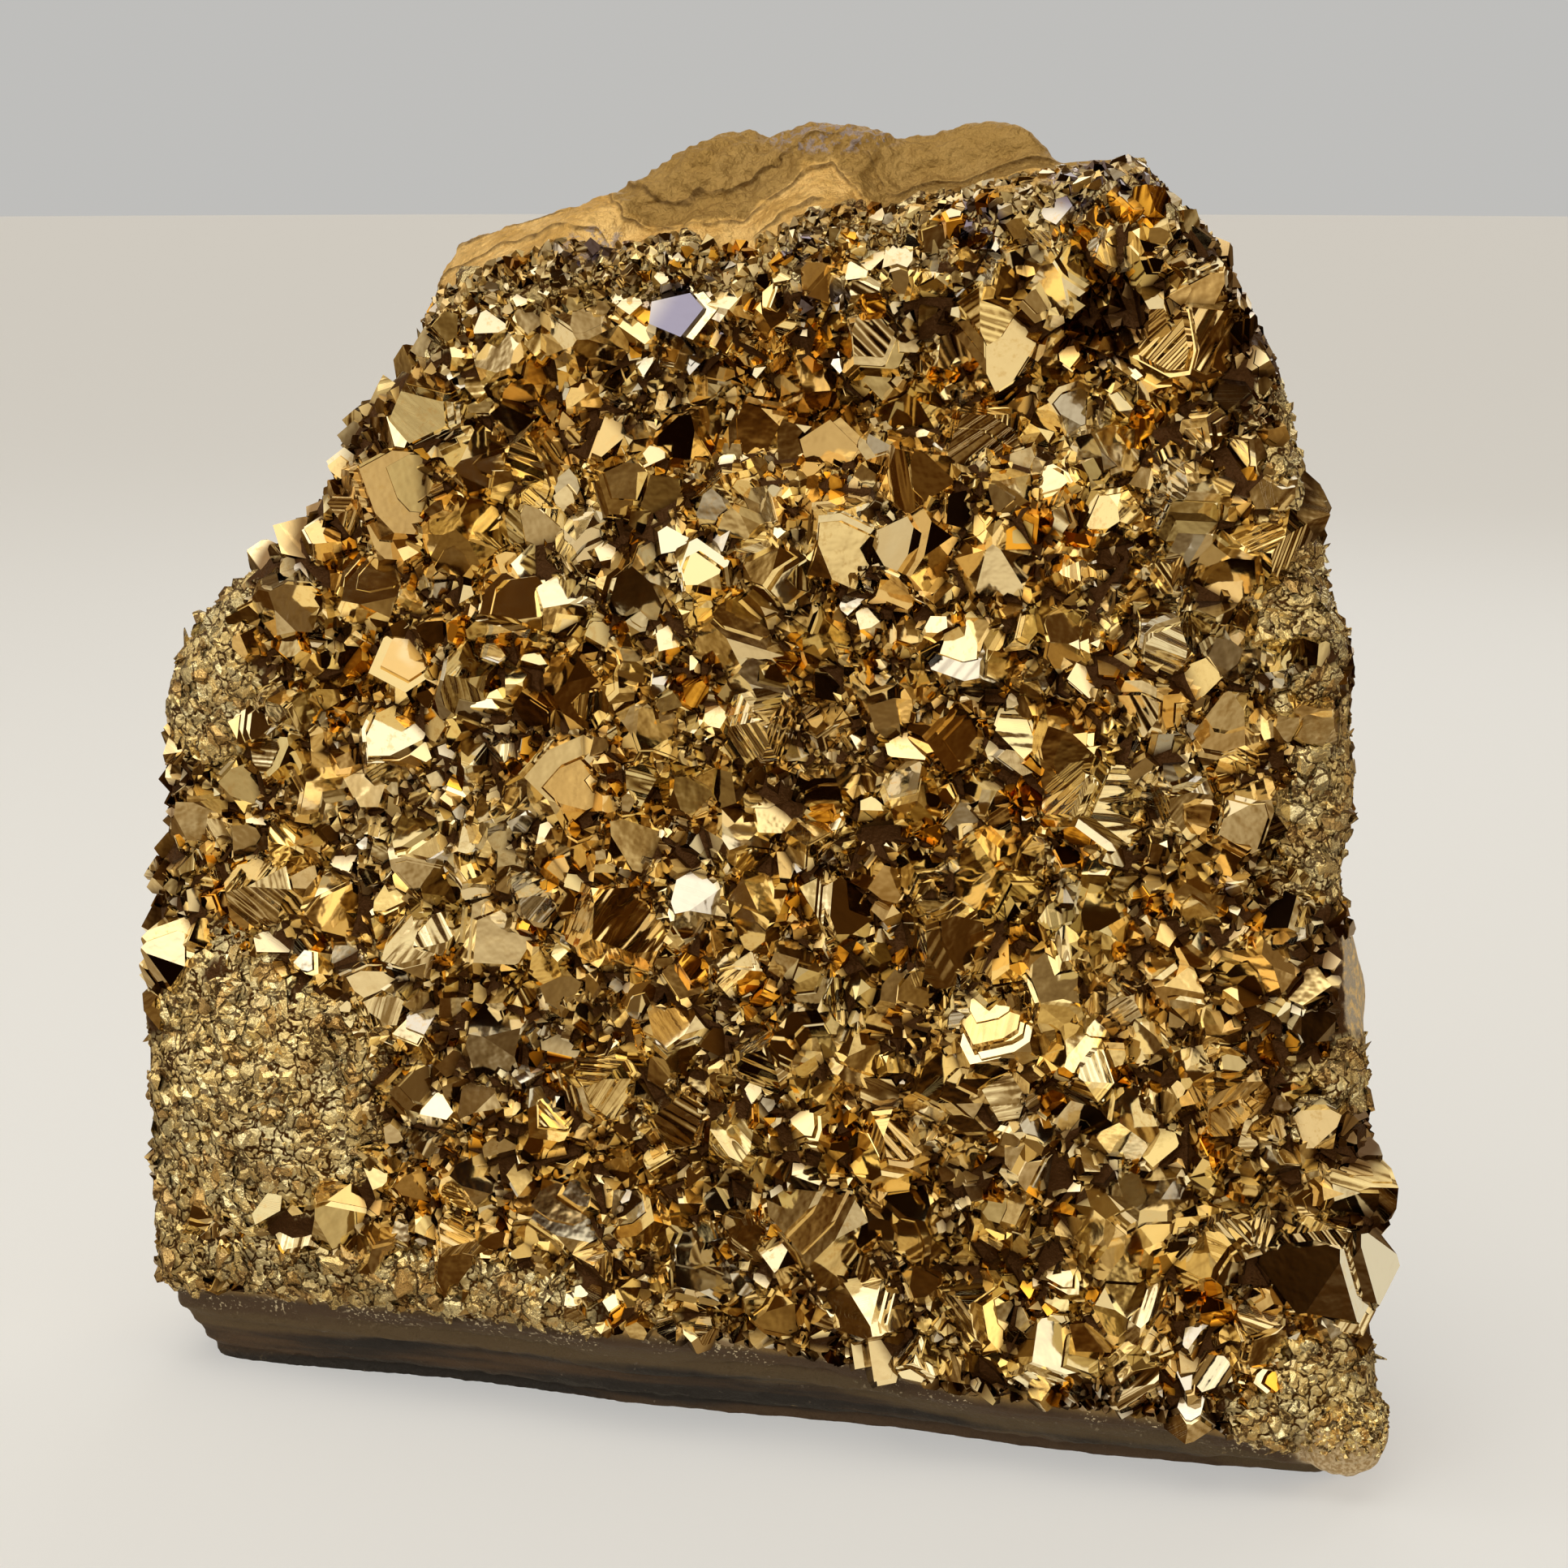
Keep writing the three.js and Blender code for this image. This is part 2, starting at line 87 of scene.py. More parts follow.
# ---- the host rock's form, in the stone's own millimetres -----------------------------
SEED = 41
HEART = np.array([-2, 6.5, 70])  # rays to the skin start round this place,
STRETCH = np.array([75, 24, 76])  # from a flat core in a stretched ball
CORE = 0.72  # the core's size against the ball's
HALF_SPAN = 78
FACE_Y, FACE_LEAN, FACE_CROWN = -22, 0.13, 5
BACK_Y, BACK_LEAN, BACK_CROWN = 33, 0.13, 9
SIDE_TAPER = 0.25
RIM_ROUND = 9
EDGE_ROUND = 3
# Heights of the waves that run over the faces of the rock.
FACE_SWELL, FACE_RIPPLE = 1.1, 0.6
BACK_LUMP, BACK_KNOB = 4, 2
SIDE_KNOB = 0.8
BROW_LEDGE, BROW_SWELL = 0.9, 1.1
HEEL_LAYER, HEEL_SWELL = 0.35, 0.5
SWELLING_Y, SWELLING_Z, SWELLING_RADIUS, SWELLING_HEIGHT = 6, 52, 9, 2.5
FARTHEST_SKIN, HALVINGS = 120, 18  # how far a ray is followed, and how often it is halved
SLOPE_STEP = 0.8  # between the places that a slope is taken from

ROCK_OUTLINE = [
    [-74.5, -12], [-77, -4], [-81.2, 2], [-83.8, 9], [-84.2, 20], [-84.8, 38], [-84.6, 52], [-84.2, 66],
    [-83.9, 78], [-82.6, 88.5], [-71.3, 99], [-64.3, 106.6], [-59.3, 112], [-56.8, 119.3], [-51.6, 124.5],
    [-47.3, 133], [-46.6, 141.3], [-37, 144.8], [-30, 146.9], [-22, 151.8], [-14, 159.8], [-5, 163],
    [3, 163.3], [10, 162.4], [16, 162.2], [22, 163.4], [26, 159], [32, 151.3], [41.5, 152.4],
    [45.8, 147.8], [51.9, 141.2], [58, 130.9], [62, 118.5], [64.9, 106], [68.7, 94.5], [69.8, 84],
    [69.2, 66], [70.6, 57], [72.6, 49], [72.4, 43], [74.2, 37], [76, 31], [75, 22], [75, 13],
    [76, 6], [75.5, 0], [72, -5], [71, -12],
]
BROW_LINE = np.array([
    [-50, 131], [-43, 134.5], [-36, 137.4], [-28, 140], [-22, 139.4], [-12, 141], [-6, 139.3],
    [3, 143.6], [7, 144.6], [11, 143.8], [18, 145.8], [25, 147.3], [31, 149], [48, 151],
])
HEEL_LINE = np.array([
    [-80, 6.3], [-50, 8.3], [-8, 8.8], [15, 6.8], [28, 4.8], [50, 4.4], [59, 3.2], [71, 0], [80, -1],
])
FOOT = -4  # the height at which the stone is sawn off flat
FOOT_FRONT = -12.8
KNOB_MIDDLE = np.array([71.2, -14.5, 3.4])
KNOB_REACH = np.array([5, 6.2, 4.7])
KNOB_EDGE = (1.25, 1.1)  # against its reach: where the knob's own surface ends, and where it is whole
KNOB_TRIES = 2500

# Soft mounds and hollows of the crystal face: x, z, half width, half height, depth (+ is back).
FACE_RELIEF = [
    [2, 121, 34, 9, 7], [34, 124, 16, 7, 3], [-66, 31, 17, 24, -3], [-70, 86, 12, 12, -2.5],
    [-8, 62, 22, 12, -2], [30, 40, 26, 14, -2.5], [-52, 58, 9, 8, 3], [6, 88, 6, 9, 2.5],
]
# Patches where the druse stays fine grained: x, z, half width, half height.
FINE_PATCHES = [
    [-67, 33, 19, 20], [-75, 88, 9, 14], [63, 112, 7, 26], [67, 76, 6, 12], [70, 6, 11, 10],
    [-44, 11, 36, 5], [71, 45, 8, 5], [-80, 12, 9, 9],
]
PATCH_EDGE = (0.3, 0.5)  # the strength of a patch between which its edge lies
PATCH_RAGGED, PATCH_RAGGED_SIZE = 0.42, 7  # how unevenly points and grains mingle along it
# Spots where the film turns lilac: x, z, half width, half height.
LILAC_SPOTS = [
    [-11, 131.5, 6, 5], [22.5, 143, 5, 3], [38, 147, 8, 4], [-24, 139.5, 4, 2.5], [2.5, 139.5, 4, 2.5],
    [5, 133.5, 4, 3], [53, 67, 4, 3], [-74, 57.5, 5, 2], [3, 152.5, 9, 2],
]

# The largest points: x, z, half-width, spin and lean of the axis to the right and up.
LARGE_POINTS = [
    [-17, 58, 7.4, 0.3, 0.05, 0.1], [8, 51, 6.7, 1.1, 0.15, 0.1], [23, 42, 6, 0.5, -0.25, 0.05],
    [45, 28, 7.7, 0.2, -0.05, 0.15], [59, 30, 6.2, 0.9, 0.1, 0.2], [72.5, 32.5, 5.6, 0.4, 0.5, 0],
    [69, 24.5, 7, 0.52, 0.25, 0.8], [40, 76, 6.7, 0.7, 0, -0.1], [25, 128, 6.5, 0.6, 0.1, -0.4],
    [48, 128, 7, 1.5, 0.2, -0.1], [56, 105, 6.5, 0, 0.25, 0], [27, 104, 6.7, 1.2, 0, 0.2],
    [8, 107, 7, 0.9, -0.1, 0.25], [-45, 120, 6, 0.1, -0.35, 0.3], [-50, 110, 6.7, 0.8, -0.3, 0.35],
    [-31, 115, 5.8, 0.35, 0, 0.3], [-17, 101, 6, 0.6, 0.2, 0.3], [-4, 94, 6.5, 1.4, -0.2, 0.3],
    [7, 95, 5.3, 0.15, 0.1, 0.2], [-26, 76, 7.2, 1, -0.15, 0.1], [-25, 130, 6.7, 0.5, 0.1, 0.2],
    [28, 66, 7.2, 0.25, 0.1, 0.05], [22, 60, 6.5, 1, -0.2, 0.2], [-12, 117, 6, 0.75, 0.15, 0],
    [46, 88, 5.5, 0.55, 0.15, 0.2], [-44, 66, 6.2, 1.2, -0.1, 0.05], [-57, 57, 7.2, 0.3, -0.1, -0.15],
    [-35, 55, 6.7, 0.9, 0, -0.2], [-38, 16, 5.8, 0.2, -0.1, 0.1], [9, 25, 7.2, 0.65, -0.05, -0.1],
    [-12, 23, 6, 0.1, 0.25, 0.15], [-8, 16, 7.2, 1.35, -0.1, -0.1], [-21, 38, 6.7, 0.45, -0.1, 0],
    [-45, 36, 5.5, 1.1, -0.1, 0.1], [-54, 21, 6, 0.7, -0.2, 0.2], [29, 15, 5.8, 0.35, 0.05, 0.2],
    [62, 110, 6, 0.9, 0.4, -0.1], [-31, 107, 5.3, 0.6, -0.1, 0.2], [-66, 58, 6.5, 1.3, -0.35, -0.1],
]
POINT_ANGLE = math.radians(51.8)
TIP = math.tan(POINT_ANGLE)
SHAPES = 14
TIP_WANDER = 0.3  # how far a frame shape's tip strays sideways, in half-widths
SMALL_FACES = (0.12, 0.6)  # how far its small faces stand above the large ones: least, and span
WIDENING = (0.85, 0.35)  # its width against its thickness: least, and span
SINK, RIM_SINK = 0.32, 0.75  # how deep a point stands in the skin, on the face and at the rim
RIM_FROM, RIM_TO = 0.5, 4  # where the rim starts and ends, behind the face
TILT_SPREAD = 0.32  # how far a point leans from the skin's normal
RIM_ROOM = 1  # how far the frame's points keep inside the outline, in half-widths
POINT_WRAP = 1.5  # and how far behind the face they still stand
CRUST_WRAP = 7  # how far the smaller points and the crust reach back round the rim
CRUST_FADE_TOP, CRUST_FADE_FOOT = (-1.5, 2.5), (-0.5, 1.5)
FOOTING = 0.7  # what counts of a half-width where a point has to have room
FINE_LIMIT = 0.5  # the fineness up to which the frame's points grow
ROOT_LENGTH, SHORT_ROOT = 1.2, 0.35  # how far a form reaches into the rock, in half-widths
THIRD = 2 * math.pi / 3
BLANK_SIZE = 7  # the cube that a form is cut from, in half-widths
LOPSIDED_FORMS, PLAIN_FORMS, LOW_FORMS = 18, 8, 10
NO_SIDES = (2.0,) * 6  # six sides too far out to cut anything
# The next sizes: least and most half-width, tries and spacing.
SECOND_POINTS = [(5.6, 7.2, 1200, 0.66), (4.2, 5.4, 3000, 0.66)]
# Least and most half-width, how far a point keeps off larger ones and off its own kind in
# shares of the half-widths, the spread of its tilt, and how deep it sinks in.
SCATTERED = {
    "middle": (2.0, 3.6, 0.68, 0.64, 0.4, 0.1),
    "small": (1.1, 2.0, 0.64, 0.56, 0.5, 0.15),
    "tiny": (0.6, 1.1, 0.7, 0.5, 0.55, 0.0),
    "grain": (0.55, 1.2, 0.7, 0.49, 0.75, -0.05),
}
SMALLER_OFTEN = 1.4  # the larger, the more of the scattered points are small
TILT_UNIT = 0.6  # what a tilt of 1 spreads over
RIM_SINK_MORE = 0.45  # how much deeper they sink in at the rim
KNOB_GRAIN_KEEPS, KNOB_GRAIN_SHARE, KNOB_GRAIN_LIFT = 0.7, 0.52, 0.1
FORM_NUMBERS = 1 << 30  # a form is drawn as a number below this, of which the remainder counts
ROCK_SUBDIVISIONS, KNOB_SUBDIVISIONS = 6, 5
# Steps that bring the refined rock back onto the skin, and how much of the way each goes.
SKIN_STEPS, SKIN_STEP = 3, 0.9
# Where the rock is made finer: past the brow's and the heel's lines by this much, and so far
# back behind the crystal face.
FINER_MARGIN = 2
FINER_BROW, FINEST_BROW, FINER_HEEL = 36, 24, 14
BARE_CRUST = 0.9  # less crust than this leaves the rock bare
# Edge of the geode wall's lowest layer on the bare brow: x, and how far up the slope it runs.
LEDGE_LINE = np.array([
    [-50, 9], [-24, 9], [-21, 4.7], [-15, 2], [-9, 3.7], [-2.5, 7.2], [4, 7.4], [7, 4.2], [11, 0.4],
    [15, 2.1], [20.5, 1.4], [24.5, 2.7], [28, 3.1], [32, 2.3], [48, 1],
])
LAYER, RIGHT_LAYER = 5, 2.1  # thickness of the layers to the left and right of the brow's cleft
CLEFT_FROM, CLEFT_TO = 9, 13
BARE_FLANK_Z, BARE_FLANK_REACH = 55, 6.5  # the strip of the right flank where rock shows
BARE_FLANK_FROM = 1.5  # how far behind the crystal face it starts
RIGHT_SIDE = 40  # from here on a place belongs to the right flank,
FLANK_CLEAR = 45  # and from here on its bare strip is kept clear of points
FLANK_FADE, FLANK_FRONT, FLANK_BACK = 3, (0.5, 3), (19, 8)
KNOB_FADE = (7.5, 4.5)  # heights over which the knob's bare rock gives way to film
CLUMP, CLUMP_HEIGHT = 5.5, 1.3  # of the grains in the fine patches
CLUMP_TOP = 0.35  # the share of the noise from which a clump's top is level
BROW_BAND = 8  # only fine grains grow this close under the brow
BROW_SHORTENING = (0.45, 0.55)  # the share of its size a point keeps there, and the rest of it
BROW_GROWTH = (0.4, 1.7)  # bands under the brow between which points come to their full size
RIM_THINNING = 0.85  # how much thinner the druse's own ground is round the rim
SAW_SIZE = 400  # of the block that takes off what lies under the foot
# Heights of the roughness that the finished rock has over the frame's.
CRUST_LUMPS = 0.35
LEDGE_STEEP = (0.4, 0.3)  # of the brow's ledges: left of the cleft, and more right of it
BROW_LUMPS, BROW_GRIT = 0.15, 0.14
ROUGH_LUMPS, ROUGH_SWELLS = 0.45, 0.7  # of the broken crust on the brow
HEEL_BANDING, HEEL_LUMPS = 0.22, 0.3
BACK_BREAKS, BACK_EDGES, BACK_LUMPS = 1.3, 0.6, 0.3
BACK_FROM, BACK_TO = 14, 26  # behind the crystal face, where the broken back sets in
KNOB_LUMPS, KNOB_GRIT = 0.5, 0.12
CHUNK = 2000  # places compared with the larger points at one time
# Growth plates and parallel crystals on a point (least, and one more than most): on the
# largest points, and on the next ones.
PLATES = ((3, 7), (1, 4))
NEIGHBOURS = ((1, 4), (0, 3))
PLATE_SIZE, PLATE_SHIFT = (0.62, 0.93), (0.1, 0.42)  # against the crystal it lies on
PLATE_PROUD, SMALL_PLATE_PROUD = (0.12, 0.5), (0.06, 0.2)
# Of a crystal beside its point, in shares of that point: size, distance and drop.
BESIDE_LARGE = ((0.4, 0.78), (0.55, 1.0), (-0.05, 0.4))
BESIDE_SMALL = ((0.45, 0.85), (0.5, 1.0), (-0.05, 0.35))
POINT_ROOM, GRAIN_ROOM = 0.5, 0.3  # what counts of a half-width at the brow and the heel
TINY_LIMIT, NO_LIMIT = 0.9, 1.1  # the fineness up to which points grow
POINT_CLEARANCE = 0.4  # how far points keep off the brow, in its bands
POINT_TUCK = 1.2  # how much less far round the rim they reach, in half-widths
GRAINS_FROM = 0.25  # the fineness from which grains grow
# The widest that a patch's grains may be at the knob, and how it rises with the distance.
KNOB_WIDEST, KNOB_WIDENING = 0.35, 0.05

# ---- camera and lamps -----------------------------------------------------------------
CAMERA_AZIMUTH, CAMERA_ELEVATION = 15, 12
CAMERA_LENS, CAMERA_DISTANCE = 70, 378
CAMERA_TARGET = (-1.0, 0.0, 74.0)
# Name, place in metres, width, height, colour and radiance.
LAMPS = [
    ("overhead", (-0.12, -0.12, 0.75), 0.7, 0.55, (1.0, 0.98, 0.92), 1.4),
    ("left", (-0.7, -0.15, 0.35), 0.22, 0.5, (1.0, 0.98, 0.92), 1.05),
    ("right", (0.75, -0.1, 0.3), 0.25, 0.45, (1.0, 0.98, 0.92), 1.2),
    ("front", (-0.3, -1.0, 0.5), 0.9, 0.55, (1.0, 0.98, 0.93), 1.45),
    ("rim", (0.1, 0.7, 0.5), 0.8, 0.3, (0.9, 0.95, 1.0), 1.2),
]
FLOOR_SIDES, FLOOR_RADIUS = 96, 6
FLOOR_GLOW = 0.8  # evens out the floor, which the lamps reach only near the stone
BACKDROP = (0.52, 0.515, 0.5)
# Light of the room around the stone, over the share of it that is darker.
ROOM_GLOW = [
    (0.37, (0.005, 0.0015, 0.0003)), (0.445, (0.085, 0.033, 0.006)), (0.515, (0.34, 0.225, 0.095)),
    (0.58, (1.0, 0.86, 0.62)), (0.65, (1.2, 1.1, 0.84)),
]


# ---- sizes and colours that a user would change ---------------------------------------
def millimetres(name, description, default, least, most):
    return bpy.props.FloatProperty(
        name=name, description=description, default=default * MM, min=least * MM, max=most * MM,
        subtype="DISTANCE", unit="LENGTH", precision=4,
    )


def colour(name, description, default):
    return bpy.props.FloatVectorProperty(
        name=name, description=description, default=default, subtype="COLOR", min=0, max=1,
    )


def share(name, description, default, most=1.0):
    return bpy.props.FloatProperty(
        name=name, description=description, default=default, min=0, max=most, subtype="FACTOR",
    )


def tries(name, description, default):
    return bpy.props.IntProperty(
        name=name, description="Tries at placing " + description, default=default, min=0,
    )


class StoneSettings(bpy.types.PropertyGroup):
    ground_lift: millimetres("Ground lift", "Thickness of the fine crust under the points", 1.3, 0, 3)
    large_share: share("Large points", "Width of the largest points against the frame's", 0.92)
    second_share: share("Second points", "Width of the next points against the frame's", 0.7)
    bare_gold: colour("Bare rock gold", "Gold film on bare rock", (0.63, 0.39, 0.11))
    bare_rock: colour("Bare rock", "Host rock where the film ends", (0.16, 0.13, 0.105))
    # the heel's layer colours: its own banding, kept darker in part as painted shade of the undercut band
    heel_dark: colour("Heel, dark layers", "Dark layers of the geode wall", (0.024, 0.020, 0.017))
    heel_brown: colour("Heel, brown layers", "Brown layers of the geode wall", (0.085, 0.048, 0.021))


class PointSettings(bpy.types.PropertyGroup):
    gold: colour("Gold", "Film on most points", (0.76, 0.64, 0.40))
    bronze: colour("Bronze", "Film on the browner points", (0.58, 0.40, 0.16))
    pale: colour("Pale gold", "Film on the palest points", (0.78, 0.70, 0.49))
    lilac: colour("Lilac", "Film on the lilac points near the brow", (0.11, 0.105, 0.19))
    roughness: share("Roughness", "Roughness of the crystal faces", 0.04)
    middle_tries: tries("Middle points", "a middle-sized point", 6000)
    small_tries: tries("Small points", "a small point", 16000)
    tiny_tries: tries("Tiny points", "a tiny point", 40000)
    grain_tries: tries("Grains", "a grain in the fine patches", 40000)


class StageSettings(bpy.types.PropertyGroup):
    floor: colour("Floor", "Pale floor", (0.47, 0.475, 0.475))
    light: bpy.props.FloatProperty(
        name="Light", description="Strength of all the lamps", default=1.0, min=0, max=10,
    )


# ---- fields ---------------------------------------------------------------------------
def smoothstep(value, start, end):
    t = np.clip((value - start) / (end - start), 0, 1)
    return t * t * (3 - 2 * t)


def along_line(line, x):
    """The height of a drawn line over each x."""
    i = np.clip(np.searchsorted(line[:, 0], x), 1, len(line) - 1)
    (x0, z0), (x1, z1) = line[i - 1].T, line[i].T
    return z0 + (z1 - z0) * (x - x0) / (x1 - x0)


def rounded_max(a, b, width):
    near = np.maximum(width - np.abs(a - b), 0) / width
    return np.maximum(a, b) + near * near * width / 4


def outline_distance(x, z):
    """How far places lie from the rock's outline, negative inside it."""
    nearest = np.full(x.shape, np.inf)
    inside = np.zeros(x.shape, bool)
    for (ax, az), (bx, bz) in zip(ROCK_OUTLINE[-1:] + ROCK_OUTLINE[:-1], ROCK_OUTLINE):
        dx, dz = bx - ax, bz - az
        if dx == 0 and dz == 0:
            continue
        t = np.clip(((x - ax) * dx + (z - az) * dz) / (dx * dx + dz * dz), 0, 1)
        nearest = np.minimum(nearest, np.hypot(x - ax - t * dx, z - az - t * dz))
        if dz:
            inside ^= ((az > z) != (bz > z)) & (x < ax + (z - az) / dz * dx)
    return np.where(inside, -nearest, nearest)


def mound(x, z, row):
    return np.exp(-(((x - row[0]) / row[2]) ** 2) - ((z - row[1]) / row[3]) ** 2)


def spots(x, z, rows):
    """1 at the middle of each spot, falling off around it."""
    return np.max([mound(x, z, row) for row in rows], axis=0)


def fineness(x, z, unevenness=0):
    """1 in the fine-grained patches, 0 where the points grow large."""
    return smoothstep(spots(x, z, FINE_PATCHES) + unevenness, *PATCH_EDGE)


def face_depth(x, z):
    swells = FACE_SWELL * np.sin(x / 13 + 0.6) * np.sin(z / 11 + 1)
    ripples = FACE_RIPPLE * np.sin(x / 5.7 + z / 8.3)
    relief = sum(row[4] * mound(x, z, row) for row in FACE_RELIEF)
    return FACE_Y + FACE_LEAN * z + FACE_CROWN * (x / HALF_SPAN) ** 2 + swells + ripples + relief


def back_depth(x, z):
    lumps = BACK_LUMP * np.sin(x / 14 + 1.3) * np.sin(z / 15 + 0.4)
    knobs = BACK_KNOB * np.sin(x / 8.3 - 1) * np.cos(z / 9.1)
    return BACK_Y - BACK_LEAN * z - BACK_CROWN * (x / HALF_SPAN) ** 2 + lumps + knobs


def behind_face(x, y, z):
    return y - face_depth(x, z)


def under_brow(x, z):
    return along_line(BROW_LINE, x) - z


def over_heel(x, z):
    return z - along_line(HEEL_LINE, x)


def brow_field(x, y, z):
    rise = z - along_line(BROW_LINE, x)
    run = behind_face(x, y, z)
    flow = rise + 0.22 * (x - 12) * np.sin(x / 21 + 0.5) + 1.6 * np.sin(x / 6.3)
    ledges = BROW_LEDGE * np.sin(flow / 1.9) + BROW_SWELL * np.sin(x / 9.1 + z / 13)
    return (rise - run) * math.sqrt(0.5) + ledges


def heel_field(x, y, z):
    line = along_line(HEEL_LINE, x)
    edge = face_depth(x, line)
    recess = FOOT_FRONT - edge
    height = line - FOOT
    layers = HEEL_LAYER * np.sin(z * 1.7) + HEEL_SWELL * np.sin(x / 8.7)
    return ((line - z) * recess + (edge - y) * height) / np.hypot(recess, height) + layers


def rock_field(p):
    """Negative inside the rock."""
    x, y, z = p.T
    front = face_depth(x, z) - y
    knobs = SIDE_KNOB * np.sin(y / 4.1 + z / 6.7) * np.sin(z / 5.3 - x / 11)
    off = ((y - SWELLING_Y) ** 2 + (z - SWELLING_Z) ** 2) / SWELLING_RADIUS**2
    swelling = np.where(x > 0, SWELLING_HEIGHT * np.exp(-off), 0)
    sides = outline_distance(x, z) - SIDE_TAPER * np.minimum(0, front) - swelling + knobs
    shell = rounded_max(rounded_max(sides, front, RIM_ROUND), y - back_depth(x, z), RIM_ROUND)
    return rounded_max(rounded_max(shell, brow_field(x, y, z), EDGE_ROUND), heel_field(x, y, z), EDGE_ROUND)


def skin_along(start, ray):
    near = np.zeros(len(start))
    far = np.full(len(start), float(FARTHEST_SKIN))
    for _ in range(HALVINGS):
        middle = (near + far) / 2
        inside = rock_field(start + ray * middle[:, None]) < 0
        near = np.where(inside, middle, near)
        far = np.where(inside, far, middle)
    return start + ray * near[:, None]


def skin_towards(directions):
    """The skin over directions from the heart; each ray starts on the flat core under it."""
    ball = directions * STRETCH
    core = ball * (CORE, 0, CORE)
    ray = ball - core
    return skin_along(core + HEART, ray / np.linalg.norm(ray, axis=1, keepdims=True))


def skin_in_front(x, z):
    start = np.stack([x, np.full(len(x), HEART[1]), z], 1)
    return skin_along(start, np.tile((0.0, -1.0, 0.0), (len(x), 1)))


def skin_normal(p):
    slope = np.stack(
        [rock_field(p + step) - rock_field(p - step) for step in SLOPE_STEP * np.eye(3)], 1
    )
    return slope / np.linalg.norm(slope, axis=1, keepdims=True)


def druse_ground(p, halfwidth, limit=FINE_LIMIT, wrap=POINT_WRAP, rim_room=0):
    """Which places on the skin can bear a point of this half-width."""
    x, y, z = p.T
    room = FOOTING * halfwidth
    on_face = y <= face_depth(x, z) + wrap
    between = (z < along_line(BROW_LINE, x) - room) & (z > along_line(HEEL_LINE, x) + room)
    inside = outline_distance(x, z) <= -rim_room * halfwidth if rim_room else True
    return on_face & between & inside & (fineness(x, z) <= limit)


def on_knob(p):
    """1 on the knob at the right foot, fading out over the rock beside it."""
    off = np.abs(p - KNOB_MIDDLE) / KNOB_REACH
    return smoothstep(np.sum(off**3, axis=1) ** (1 / 3), *KNOB_EDGE)


def off_bare_rock(p):
    """Which places leave the swelling on the right flank and the knob at the foot free."""
    x, y, z = p.T
    beside = (x < FLANK_CLEAR) | (abs(z - BARE_FLANK_Z) > BARE_FLANK_REACH)
    in_front = y < face_depth(x, z) + BARE_FLANK_FROM
    return (beside | in_front) & (on_knob(p) < 0.5)


def short_near_brow(p):
    """The share of its size that a point keeps near the brow."""
    under = under_brow(p[:, 0], p[:, 2])
    least, rest = BROW_SHORTENING
    return least + rest * smoothstep(under, BROW_GROWTH[0] * BROW_BAND, BROW_GROWTH[1] * BROW_BAND)


def rim(p):
    """0 on the crystal face, 1 round its rim."""
    return smoothstep(behind_face(*p.T), RIM_FROM, RIM_TO)


def ground_rise(p):
    """How far the druse's own ground lies over the frame's skin."""
    lift = bpy.context.scene.druse_stone.ground_lift / MM
    return (lift + clumps(p)) * crust(p) * (1 - RIM_THINNING * rim(p))


def crust(p):
    """1 where the fine crust lies on the rock, fading out at the brow, the heel and the rim."""
    x, y, z = p.T
    top = smoothstep(under_brow(x, z), *CRUST_FADE_TOP)
    foot = smoothstep(over_heel(x, z), *CRUST_FADE_FOOT)
    return top * foot * (1 - smoothstep(behind_face(x, y, z), CRUST_WRAP - 3, CRUST_WRAP + 1))


# ---- where the points stand -----------------------------------------------------------
class Draw:
    """The frame's own sequence of random numbers."""

    def __init__(self, seed):
        self.state = seed
        self()

    def __call__(self):
        self.state += 0x6D2B79F5
        t = self.state & 0xFFFFFFFF
        t = ((t ^ (t >> 15)) * (t | 1)) & 0xFFFFFFFF
        t ^= (t + (((t ^ (t >> 7)) * (t | 61)) & 0xFFFFFFFF)) & 0xFFFFFFFF
        return (t ^ (t >> 14)) / 4294967296


def frame_points():
    """The frame's points again: shapes (tip x, tip z, small tip, widening), and the points as
    arrays of root, half-width, spin, lean and shape."""
    draw = Draw(SEED)
    shapes = []
    for _ in range(SHAPES):
        tip = [TIP_WANDER * (draw() - 0.5), TIP_WANDER * (draw() - 0.5)]
        rise = TIP + SMALL_FACES[0] + SMALL_FACES[1] * draw()
        shapes.append((*tip, rise, WIDENING[0] + WIDENING[1] * draw()))
    rows = np.array(LARGE_POINTS, float)
    roots = list(skin_in_front(rows[:, 0], rows[:, 1]))
    points = [
        (root, row[2], row[3], (row[4], 0.0, row[5]), i % SHAPES)
        for i, (root, row) in enumerate(zip(roots, rows))
    ]
    for least, most, tries, spacing in SECOND_POINTS:
        draws = np.array([[draw() for _ in range(7)] for _ in range(tries)])
        height = 2 * draws[:, 0] - 1
        turn = math.pi * (1 + draws[:, 1])
        level = np.sqrt(1 - height * height)
        roots = skin_towards(np.stack([level * np.cos(turn), level * np.sin(turn), height], 1))
        widths = least + (most - least) * draws[:, 2]
        bears = druse_ground(roots, widths, rim_room=RIM_ROOM)
        for root, width, row, bear in zip(roots, widths, draws, bears):
            if not bear:
                continue
            placed = np.array([p[0] for p in points])
            reach = np.array([p[1] for p in points])
            if np.any(np.linalg.norm(placed - root, axis=1) <= spacing * (reach + width)):
                continue
            lean = 2 * TILT_SPREAD * (row[4:6] - 0.5)
            points.append((root, width, 2 * math.pi * row[3], (lean[0], 0.0, lean[1]), int(SHAPES * row[6])))
    return shapes, points


def unit(v):
    return v / np.linalg.norm(v, axis=-1, keepdims=True)


